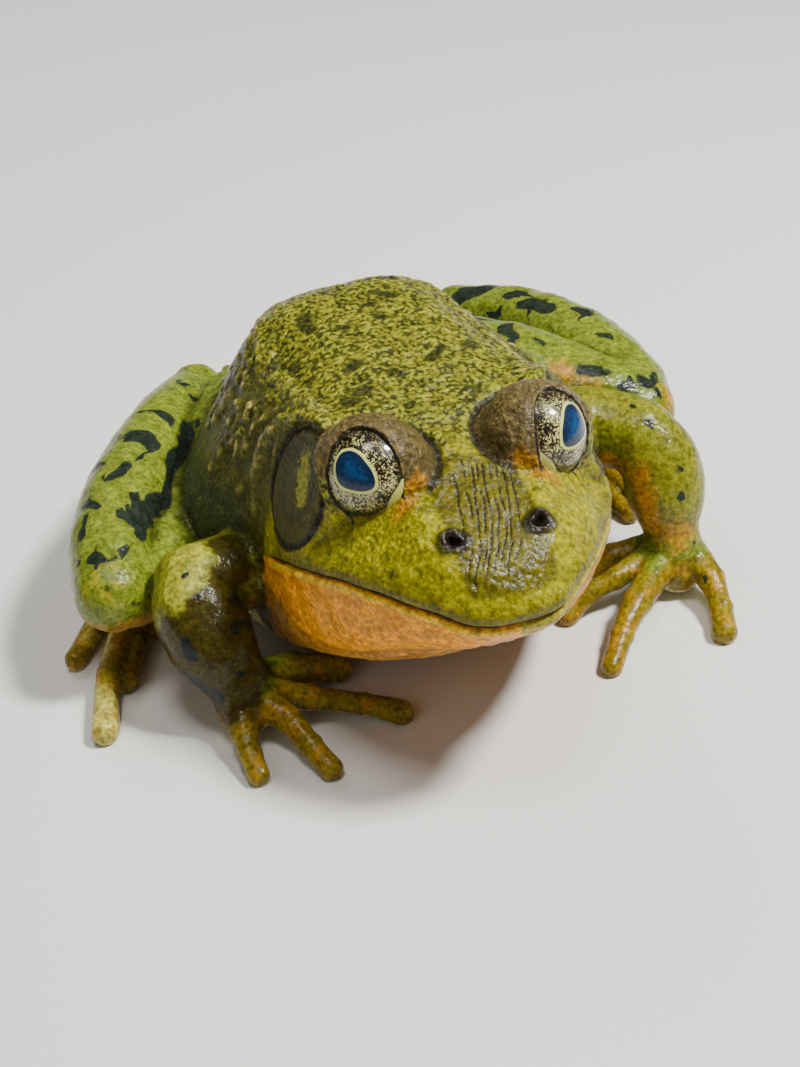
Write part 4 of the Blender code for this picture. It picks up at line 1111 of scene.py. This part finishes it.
def mark_blotches(s):
    """Mark the dark blotches and bars, with painted shade in the right shank's crease and on the right arm,
    and the coloured patches of the limbs.
    """
    z, up = s.half[:, 2], s.normals[:, 2]
    body = np.clip(s.on(*HEAD, passes=3) + s.on("trunk", passes=8), 0, 1)
    hands = s.on("hand", passes=8)
    arms, legs = s.on(*ARMS, passes=12), s.on(*LEGS, passes=12)
    back = blotches(ragged(s.straight, 0.55), BACK_BLOTCHES, flat=(1, 1, 0.3))
    mark(s.obj, "spot", np.where(body > 0.5, back * (z > 22) - 3 * (z <= 22), -3))
    uneven = ragged(s.points, 0.75)
    # The limbs' bars and blotches, with painted shade in the right shank's crease.
    limb_bars_and_crease_shade = blotches(uneven, LIMB_BLOTCHES_AND_CREASE_SHADE)
    veins = 0.4 - np.abs(Lumps(71).at(uneven, 5.0)) / 0.12
    veins = veins - 1.5 * ramp(0.1, -0.2, Lumps(72).at(s.points, 6.0))
    limb_bars_and_crease_shade = np.maximum(limb_bars_and_crease_shade, np.where((legs > 0.6) & (up > -0.2), veins, -3))
    mark(s.obj, "bar", np.where(arms + legs + hands > 0.4, limb_bars_and_crease_shade, -3))
    # Dark patches on the right arm: partly its dusky colour, partly painted shade.
    mark(s.obj, "arm_shade", np.where(arms + hands > 0.4, blotches(uneven, ARM_SHADES), -3))
    mark(s.obj, "elbow", inside(from_line(uneven, *ELBOW_PATCH), 2.5))
    toe = inside(from_line(s.points, (-38.6, 2.0, 2.6), (-38.8, -3.4, 2.8)), 2.4)
    tip = inside(from_line(s.points, (-41.0, -11.0, 2.2), (-42.2, -16.4, 1.4)), 2.6)
    mark(s.obj, "toe", np.maximum(toe, tip))
    inner = legs * ramp(0.1, -0.6, up) + arms * ramp(0.2, -0.5, up)
    knees = around(s.points, (38.5, -5.5, 20.0), 4.2), 0.6 * around(s.points, (-37.0, -7.0, 15.4), 6.0)
    wrist = around(s.points, (33.0, -19.0, 9.0), 5.0)
    forearm = inside(from_line(s.points, (29.2, -16.0, 17.0), (30.0, -18.4, 10.0)), 3.2)
    thigh = inside(from_line(s.points, (26.5, 1.0, 24.0), (30.0, -2.0, 22.0), (26.0, -3.5, 20.0)), 3.4)
    mark(s.obj, "orange", np.clip(np.max([inner, *knees, wrist, forearm, thigh], axis=0), 0, 1))


def mark_skin(s):
    """Write what lies where on the skin, as one number for each point and mark."""
    mark_regions(s)
    mark_face(s)
    mark_eyes_and_ears(s)
    mark_blotches(s)


# ---------------------------------------------------------------- materials
def add(tree, kind, inputs=(), **settings):
    """Add a node with its settings; inputs maps sockets to values or to the outputs that feed them."""
    node = tree.nodes.new(kind)
    for name, value in settings.items():
        setattr(node, name, value)
    for socket, value in dict(inputs).items():
        if isinstance(value, bpy.types.NodeSocket):
            tree.links.new(value, node.inputs[socket])
        else:
            node.inputs[socket].default_value = value
    return node


def new_material(name, values):
    """A new material, its tree and its shader, with uniform values set on the shader."""
    material = bpy.data.materials.new(name)
    material.use_nodes = True
    tree = material.node_tree
    shader = tree.nodes["Principled BSDF"]
    for socket, value in values.items():
        shader.inputs[socket].default_value = value
    return material, tree, shader


def in_mm(tree):
    """Places on the piece, in millimetres."""
    place = add(tree, "ShaderNodeTexCoord").outputs["Object"]
    return add(tree, "ShaderNodeMapping", {"Vector": place, "Scale": (1 / MM,) * 3}).outputs[0]


def attribute(tree, name):
    """The value of a mark that the mesh carries."""
    return add(tree, "ShaderNodeAttribute", attribute_name=name).outputs["Fac"]


def painted(tree, colours, ground, layers, fade="SMOOTHSTEP"):
    """Paint layers over a ground: each a colour, a value, where it starts and is full, and how full."""
    now = tuple(getattr(colours, ground))
    for paint, value, start, full, most in layers:
        share = add(tree, "ShaderNodeMapRange", {0: value, 1: start, 2: full, 3: 0.0, 4: most},
                    interpolation_type=fade).outputs[0]
        now = add(tree, "ShaderNodeMix", {0: share, 6: now, 7: tuple(getattr(colours, paint))},
                  data_type="RGBA").outputs[2]
    return now


FINE, MIDDLE, BROAD = 0.55, 1.4, 2.6    # sizes of the skin's grain, in mm
# Layers of the skin's colour, from the bottom up: mark, colour, the levels of the mark where the
# colour starts and is full, size and strength of the ragged edge, and how full it gets.
SKIN_LAYERS = (
    ("flank", "flank", 0.25, 0.75, MIDDLE, 0.5, 0.92),
    ("flank_low", "flank_low", 0.3, 1.0, BROAD, 0.8, 0.5),
    ("belly", "belly", 0.3, 0.8, BROAD, 0.4, 0.9),
    ("limb", "limb", 0.35, 0.65, MIDDLE, 0.3, 1.0),
    ("arm", "digit", 0.4, 0.9, BROAD, 0.9, 0.4),
    ("digit", "digit", 0.4, 0.7, MIDDLE, 0.4, 0.95),
    ("digit", "orange", 0.9, 1.2, BROAD, 1.8, 0.5),
    ("under", "belly", 0.5, 1.0, MIDDLE, 0.5, 0.8),
    ("orange", "orange", 0.25, 0.9, MIDDLE, 1.2, 0.85),
    ("elbow", "elbow", 0.0, 0.35, FINE, 0.5, 0.95),
    # partly dusky colour, partly painted shade on the right arm
    ("arm_shade", "arm_shade", 0.0, 0.3, BROAD, 0.9, 0.88),
    ("toe", "third_lid", 0.1, 0.5, MIDDLE, 0.6, 0.5),
    ("toe", "orange", 0.1, 0.9, BROAD, 1.6, 0.4),
    ("cheek", "cheek", 0.3, 0.8, MIDDLE, 0.5, 0.92),
    # painted shade above the mouth line, in the snout's brown-olive
    ("mouth_shade", "snout", 0.2, 1.0, BROAD, 0.9, 0.6),
    ("snout", "snout", 0.4, 0.9, MIDDLE, 0.9, 0.72),
    ("lid", "lid", 0.35, 0.75, FINE, 0.35, 0.92),
    ("rust", "rust", 0.1, 0.8, FINE, 0.7, 0.85),
    ("throat", "throat", 0.4, 0.7, MIDDLE, 0.3, 1.0),
    # painted shade under the throat
    ("throat_low", "flank_low", 0.4, 1.0, MIDDLE, 0.8, 0.5),
    ("lip", "lip", 0.35, 0.9, FINE, 0.4, 0.8),
    ("lip_left", "ear_spot", 0.35, 0.9, FINE, 0.3, 0.9),
    ("ear", "ear", 0.4, 0.7, FINE, 0.25, 0.95),
    ("ear_spot", "ear_spot", -0.1, 0.6, FINE, 1.6, 0.9),
    ("ear_rim", "ear_rim", 0.35, 0.85, FINE, 0.4, 0.9),
    ("lid_base", "ear_rim", 0.3, 0.9, FINE, 0.5, 0.8),
    ("spot", "spot", -0.2, 0.3, FINE, 1.6, 0.85),
    ("head_spot", "spot", -0.1, 0.5, FINE, 1.2, 0.6),
    ("bar", "bar", -0.1, 0.14, FINE, 0.8, 0.95),
    ("fold", "tip", 0.5, 1.0, FINE, 0.5, 0.3),
    # tan on raised tubercles, partly a painted highlight on their tips
    ("warts", "tip", 0.06, 0.18, FINE, 0.04, 0.6),
    ("snout_line", "line", 0.25, 0.7, FINE, 0.3, 0.85),
    ("nostril_rim", "ear_rim", 0.35, 0.95, FINE, 0.7, 0.85),
    # painted shade inside the nostrils
    ("nostril", "line", 0.3, 0.7, FINE, 0.0, 1.0),
    ("low_lid", "ear_rim", 0.4, 0.9, FINE, 0.2, 0.35),
    ("lid_line", "line", 0.3, 0.8, FINE, 0.0, 0.95),
    ("line", "line", 0.35, 0.75, FINE, 0.4, 0.85),
)


def frog_skin(sizes, colours):
    """Wet frog skin: thin, slimy and finely granular, so it glistens in many small lights."""
    material, tree, shader = new_material("wet_frog_skin", {
        "Specular IOR Level": 0.1, "Coat Weight": 0.5, "Coat Roughness": 0.15, "Coat IOR": 1.36,
        "Subsurface Weight": 0.04, "Subsurface Scale": MM})
    mm = in_mm(tree)
    grain = {size: add(tree, "ShaderNodeTexNoise", {"Vector": mm, "Scale": 1 / size, "Detail": 3.0,
                                                    "Roughness": 0.6}).outputs[0]
             for size in (FINE, MIDDLE, BROAD)}
    granules = add(tree, "ShaderNodeTexVoronoi", {"Vector": mm, "Scale": 1 / sizes.granule},
                   feature="SMOOTH_F1").outputs[0]

    # dark mottling runs between the paler granules, and clouds of dark lie over it
    between = add(tree, "ShaderNodeMath", {0: grain[FINE], 1: granules}, operation="SUBTRACT").outputs[0]
    clouds = add(tree, "ShaderNodeMath", {0: grain[BROAD], 1: -0.9, 2: between},
                 operation="MULTIPLY_ADD").outputs[0]
    layers = [("back_dark", between, 0.2, -0.06, 0.65), ("spot", clouds, -0.38, -0.66, 0.6)]
    for name, paint, start, full, size, uneven, most in SKIN_LAYERS:
        value = attribute(tree, name)
        if uneven:
            value = add(tree, "ShaderNodeMath", {0: grain[size], 1: uneven, 2: value},
                        operation="MULTIPLY_ADD").outputs[0]
        layers.append((paint, value, start + uneven / 2, full + uneven / 2, most))
    # the same grain darkens and lightens every layer, as pigment lies unevenly in the skin; the relief
    # paints shade into the hollows and a faint highlight onto raised tips
    tone = 1.0
    for value, start, full, low, high in ((grain[FINE], 0.32, 0.68, 0.5, 1.4),
                                          (grain[MIDDLE], 0.3, 0.7, 0.65, 1.3),
                                          (attribute(tree, "raised"), -0.13, 0.04, 0.42, 1.05)):
        part = add(tree, "ShaderNodeMapRange", {0: value, 1: start, 2: full, 3: low, 4: high}).outputs[0]
        tone = add(tree, "ShaderNodeMath", {0: tone, 1: part}, operation="MULTIPLY").outputs[0]
    toned = add(tree, "ShaderNodeVectorMath", {0: painted(tree, colours, "back", layers), "Scale": tone},
                operation="SCALE").outputs[0]
    tree.links.new(toned, shader.inputs["Base Color"])

    # limbs are the smoothest, back and lids the most granular
    rough = add(tree, "ShaderNodeMapRange", {0: grain[MIDDLE], 1: 0.35, 2: 0.65,
                                             3: 0.42, 4: 0.62}).outputs[0]
    rough = add(tree, "ShaderNodeMath", {0: attribute(tree, "limb"), 1: -0.14, 2: rough},
                operation="MULTIPLY_ADD").outputs[0]
    tree.links.new(rough, shader.inputs["Roughness"])
    height = add(tree, "ShaderNodeMath", {0: granules, 1: -0.8, 2: grain[FINE]},
                 operation="MULTIPLY_ADD").outputs[0]
    strength = add(tree, "ShaderNodeMapRange", {0: attribute(tree, "smooth"), 1: 0.0, 2: 1.0, 3: 0.95,
                                                4: 0.35}).outputs[0]
    bump = add(tree, "ShaderNodeBump", {"Strength": strength, "Distance": BUMP_DEPTH * MM,
                                           "Height": height})
    for socket in ("Normal", "Coat Normal"):
        tree.links.new(bump.outputs[0], shader.inputs[socket])
    return material


def eye_surface(colours):
    """A living frog's eye: wet, clear cornea over a gold iris with a dark net."""
    material, tree, shader = new_material("clear_wet_eye", {
        "Roughness": 0.4, "Specular IOR Level": 0.2, "Coat Weight": 1.0, "Coat Roughness": 0.015,
        "Coat IOR": 1.36})
    mm = in_mm(tree)
    edge, reach = attribute(tree, "from_pupil"), attribute(tree, "from_axis")

    # the net: thin dark lines where a warped noise passes its middle, thick in some places
    wander = add(tree, "ShaderNodeTexNoise", {"Vector": mm, "Scale": 1.6, "Detail": 2.0}).outputs["Color"]
    warped = add(tree, "ShaderNodeMix", {0: 0.3, 4: mm, 5: wander}, data_type="VECTOR").outputs[1]
    fleck = add(tree, "ShaderNodeTexNoise", {"Vector": warped, "Scale": 3.8, "Detail": 2.2,
                                             "Roughness": 0.5}).outputs[0]
    patch = add(tree, "ShaderNodeTexNoise", {"Vector": mm, "Scale": 0.5, "Detail": 1.0}).outputs[0]
    ridge = add(tree, "ShaderNodeMath", {0: fleck, 1: 0.5}, operation="SUBTRACT").outputs[0]
    ridge = add(tree, "ShaderNodeMath", {0: ridge}, operation="ABSOLUTE").outputs[0]
    width = add(tree, "ShaderNodeMapRange", {0: patch, 1: 0.35, 2: 0.65, 3: -0.02, 4: 0.05}).outputs[0]
    ridge = add(tree, "ShaderNodeMath", {0: ridge, 1: width}, operation="SUBTRACT").outputs[0]
    uneven, veiled = (add(tree, "ShaderNodeMath", {0: fleck, 1: much, 2: edge},
                          operation="MULTIPLY_ADD").outputs[0] for much in (0.35, 4.0))
    now = painted(tree, colours, "iris", (
        ("iris_gold", patch, 0.5, 0.65, 0.5), ("iris_net_and_lid_shade", ridge, 0.08, 0.05, 1.0),
        # the iris darkens to the net's brown towards its edge: painted shade under the lids
        ("iris_net_and_lid_shade", reach, 3.9, 5.1, 0.75), ("ring", uneven, 0.56, 0.45, 1.0),
        # the pupil's blues: a painted sky reflection
        ("pupil", edge, 0.05, -0.03, 1.0), ("pupil_sky_reflection", veiled, 1.7, 0.0, 0.7)))
    tree.links.new(now, shader.inputs["Base Color"])
    return material


def third_lid_skin(colours):
    """Third eyelid: a smooth wet fold, nearly clear, over pale tissue."""
    material, tree, shader = new_material("third_eyelid", {
        "Roughness": 0.3, "Coat Weight": 0.8, "Coat Roughness": 0.06})
    cloud = add(tree, "ShaderNodeTexNoise", {"Vector": in_mm(tree), "Scale": 0.8, "Detail": 3.0}).outputs[0]
    now = painted(tree, colours, "third_lid", (
        ("cheek", cloud, 0.4, 0.75, 0.5),
        ("line", attribute(tree, "from_edge"), 0.15, 0.05, 0.8)), fade="LINEAR")
    tree.links.new(now, shader.inputs["Base Color"])
    return material


def matt_board(colours):
    """Matt painted board: even, with no gloss that would draw the eye."""
    return new_material("matt_board", {"Base Color": tuple(colours.floor), "Roughness": 0.85})[0]


# ---------------------------------------------------------------- eyes
def finished(obj, material, slot, *nodes):
    """Shade a piece smooth, give it its material, hang it from the root and hide the solids it stands for.
    """
    obj.data.materials.clear()
    obj.data.materials.append(material)
    obj.data.polygons.foreach_set("material_index", [0] * len(obj.data.polygons))
    obj.data.shade_smooth()
    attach(obj, "root")
    if nodes:
        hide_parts(*nodes)
    return obj


def in_model(points):
    """Points in millimetres on the frog, as metres in the model."""
    return (np.asarray(points) + offset()) * MM


def on_side(name, side):
    """The name of a piece on one side."""
    return f"{name}_{'left' if side > 0 else 'right'}"


def pupil_distance(points):
    """Distance outside the pupil's outline, negative inside it."""
    outline = through([*PUPIL[-1:], *PUPIL, *PUPIL[:2]], CURVE_STEPS)[CURVE_STEPS:-CURVE_STEPS]
    turns = np.zeros(len(points))
    for a, b in zip(outline, outline[1:]):
        pa, pb = points - a, points - b
        turns += np.arctan2(pa[:, 0] * pb[:, 1] - pa[:, 1] * pb[:, 0], (pa * pb).sum(1))
    return np.where(np.abs(turns) > math.pi, -1, 1) * from_line(points, *outline)


def eyeball(side):
    """One eyeball, with rings round the pupil's axis and a slight bulge of the cornea."""
    phi = np.arange(EYE_SIDES) * 2 * math.pi / EYE_SIDES
    rings, places = [], []
    for theta in np.concatenate((np.linspace(0.012, 1.25, 84), np.linspace(1.3, math.pi - 0.02, 20))):
        radius = EYE_RADIUS + CORNEA_BULGE * bell(theta, 0.7)
        rings.append(in_model(on_eye(PUPIL_AXIS, side, theta, phi, radius)))
        places.append(np.stack((-np.cos(phi), np.sin(phi)), 1) * theta * EYE_RADIUS)
    if side > 0:
        rings, places = ([ring[::-1] for ring in each] for each in (rings, places))
    bm = bmesh.new()
    shell(bm, rings)
    bmesh.ops.recalc_face_normals(bm, faces=bm.faces)
    obj = as_object(on_side("eyeball", side), bm)
    flat = np.concatenate(places)
    mark(obj, "from_pupil", pupil_distance(flat))
    mark(obj, "from_axis", np.linalg.norm(flat - IRIS_MIDDLE, axis=1))
    return obj


def third_lid(side):
    """The third eyelid, a thin crescent in the front lower corner of the eye."""
    count, steps = 48, 8
    phi = np.radians(np.linspace(176, 274, count))
    edge = opening_angle(phi) + 0.04
    width = 0.04 + 0.27 * np.sin(np.linspace(0, math.pi, count)) ** 0.9
    shares = np.arange(steps + 1) / steps
    rows, folds = [], []
    for radius, across in ((EYE_RADIUS + 0.22, shares), (EYE_RADIUS + 0.10, 1 - shares)):
        for share in across:
            rows.append(in_model(on_eye(EYE_OPENING_AXIS, side, edge - width * share, phi, radius)))
            folds.append(width * (1 - share) * EYE_RADIUS)
    bm = bmesh.new()
    shell(bm, np.swapaxes(np.array(rows), 0, 1))
    obj = as_object(on_side("third_lid", side), bm)
    mark(obj, "from_edge", np.swapaxes(np.array(folds), 0, 1).ravel())
    bm = bmesh.new()
    bm.from_mesh(obj.data)
    bmesh.ops.remove_doubles(bm, verts=bm.verts, dist=1e-7)
    bmesh.ops.recalc_face_normals(bm, faces=bm.faces)
    bm.to_mesh(obj.data)
    bm.free()
    return obj


# ---------------------------------------------------------------- operators
class FROG_OT_skin(bpy.types.Operator):
    """Build the skin of the whole frog, without a seam, from its solids' form"""
    bl_idname = "frog.skin"
    bl_label = "Skin"

    def execute(self, context):
        sizes, colours = context.scene.frog_sizes, context.scene.frog_colours
        material = frog_skin(sizes, colours)
        s = shaped_skin(sizes, material)
        mark_skin(s)
        place_points(s.obj, in_model(s.points))
        finished(s.obj, material, "olive_skin", *FLESH)
        return {"FINISHED"}


class FROG_OT_eyes(bpy.types.Operator):
    """Build both eyeballs with pupil, gold ring and netted iris"""
    bl_idname = "frog.eyes"
    bl_label = "Eyes"

    def execute(self, context):
        material = eye_surface(context.scene.frog_colours)
        for side, node in zip((1, -1), EYES):
            finished(eyeball(side), material, "gold_eye", node)
        return {"FINISHED"}


class FROG_OT_third_lids(bpy.types.Operator):
    """Build the third eyelids in the front corners of the eyes"""
    bl_idname = "frog.third_lids"
    bl_label = "Third eyelids"

    def execute(self, context):
        material = third_lid_skin(context.scene.frog_colours)
        for side in (1, -1):
            finished(third_lid(side), material, "olive_skin")
        return {"FINISHED"}


CAMERA_FROM_EYES = (-62.43, -156.38, 103.0)     # millimetres from the point between the eyes
CAMERA_AXES = ((0.9272, -0.3699, -0.0590), (0.2528, 0.5018, 0.8272), (-0.2763, -0.7819, 0.5588))
CAMERA_LENS, CAMERA_SENSOR = 60, 36             # millimetres
# Soft boxes: name, place and aim in metres, width in metres, power in watts, seen in the skin's gloss.
SOFT_BOXES = (
    ("key", (0.22, -0.12, 0.42), (0.0, -0.01, 0.02), 0.09, 4.6, True),
    ("sky", (-0.06, -0.04, 0.60), (0.0, 0.0, 0.02), 0.18, 1.3, True),
    ("fill", (-0.42, -0.30, 0.30), (0.0, 0.0, 0.02), 0.45, 0.5, False),
    ("back", (-0.06, 0.40, 0.36), (0.0, 0.0, 0.02), 0.20, 1.0, False),
)
WORLD_COLOUR, WORLD_STRENGTH = "E6E8EA", 0.14
FLOOR_HALF = 2.5                                # metres


class FROG_OT_stage(bpy.types.Operator):
    """Set up the pale floor, the soft lights and the camera"""
    bl_idname = "frog.stage"
    bl_label = "Stage"

    def execute(self, context):
        bm = bmesh.new()
        bmesh.ops.create_grid(bm, x_segments=1, y_segments=1, size=FLOOR_HALF)
        floor = as_object("floor", bm)
        floor.data.materials.append(matt_board(context.scene.frog_colours))
        for name, place, aim, width, power, glossy in SOFT_BOXES:
            light = bpy.data.lights.new(name, "AREA")
            light.shape, light.size, light.energy = "DISK", width, power
            lamp = bpy.data.objects.new(name, light)
            lamp.visible_glossy = glossy
            lamp.location = place
            lamp.rotation_euler = (Vector(aim) - Vector(place)).to_track_quat("-Z", "Y").to_euler()
            context.scene.collection.objects.link(lamp)
        world = bpy.data.worlds.new("studio")
        world.use_nodes = True
        background = world.node_tree.nodes["Background"].inputs
        background["Color"].default_value = srgb(WORLD_COLOUR)
        background["Strength"].default_value = WORLD_STRENGTH
        context.scene.world = world

        camera = bpy.data.objects.new("camera", bpy.data.cameras.new("camera"))
        camera.data.lens, camera.data.sensor_width = CAMERA_LENS, CAMERA_SENSOR
        camera.data.sensor_fit = "AUTO"
        camera.data.clip_start = 0.01
        eyes = [sum(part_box(node), Vector()) / 2 for node in EYES]
        camera.matrix_world = Matrix(CAMERA_AXES).transposed().to_4x4()
        camera.location = sum(eyes, Vector()) / 2 + Vector(CAMERA_FROM_EYES) * MM
        context.scene.collection.objects.link(camera)
        context.scene.camera = camera
        return {"FINISHED"}


class FROG_PT_panel(bpy.types.Panel):
    """Lists the frog's operators and settings"""
    bl_idname = "FROG_PT_panel"
    bl_label = "Green frog"
    bl_space_type = "VIEW_3D"
    bl_region_type = "UI"
    bl_category = "Frog"

    def draw(self, context):
        for operator in OPERATORS:
            self.layout.operator(operator.bl_idname)
        for settings in (context.scene.frog_sizes, context.scene.frog_colours):
            box = self.layout.box()
            for name in settings.__annotations__:
                box.prop(settings, name)


OPERATORS = (FROG_OT_skin, FROG_OT_eyes, FROG_OT_third_lids, FROG_OT_stage)
CLASSES = (FrogSizes, FrogColours, *OPERATORS, FROG_PT_panel)


def register():
    """Register the classes and hang the settings on the scene."""
    for each in CLASSES:
        bpy.utils.register_class(each)
    bpy.types.Scene.frog_sizes = PointerProperty(type=FrogSizes)
    bpy.types.Scene.frog_colours = PointerProperty(type=FrogColours)


def unregister():
    """Take settings and classes away again."""
    del bpy.types.Scene.frog_sizes, bpy.types.Scene.frog_colours
    for each in reversed(CLASSES):
        bpy.utils.unregister_class(each)


def main():
    """Build everything in order."""
    register()
    bpy.ops.frog.skin()
    bpy.ops.frog.eyes()
    bpy.ops.frog.third_lids()
    bpy.ops.frog.stage()


if __name__ == "__main__":
    main()
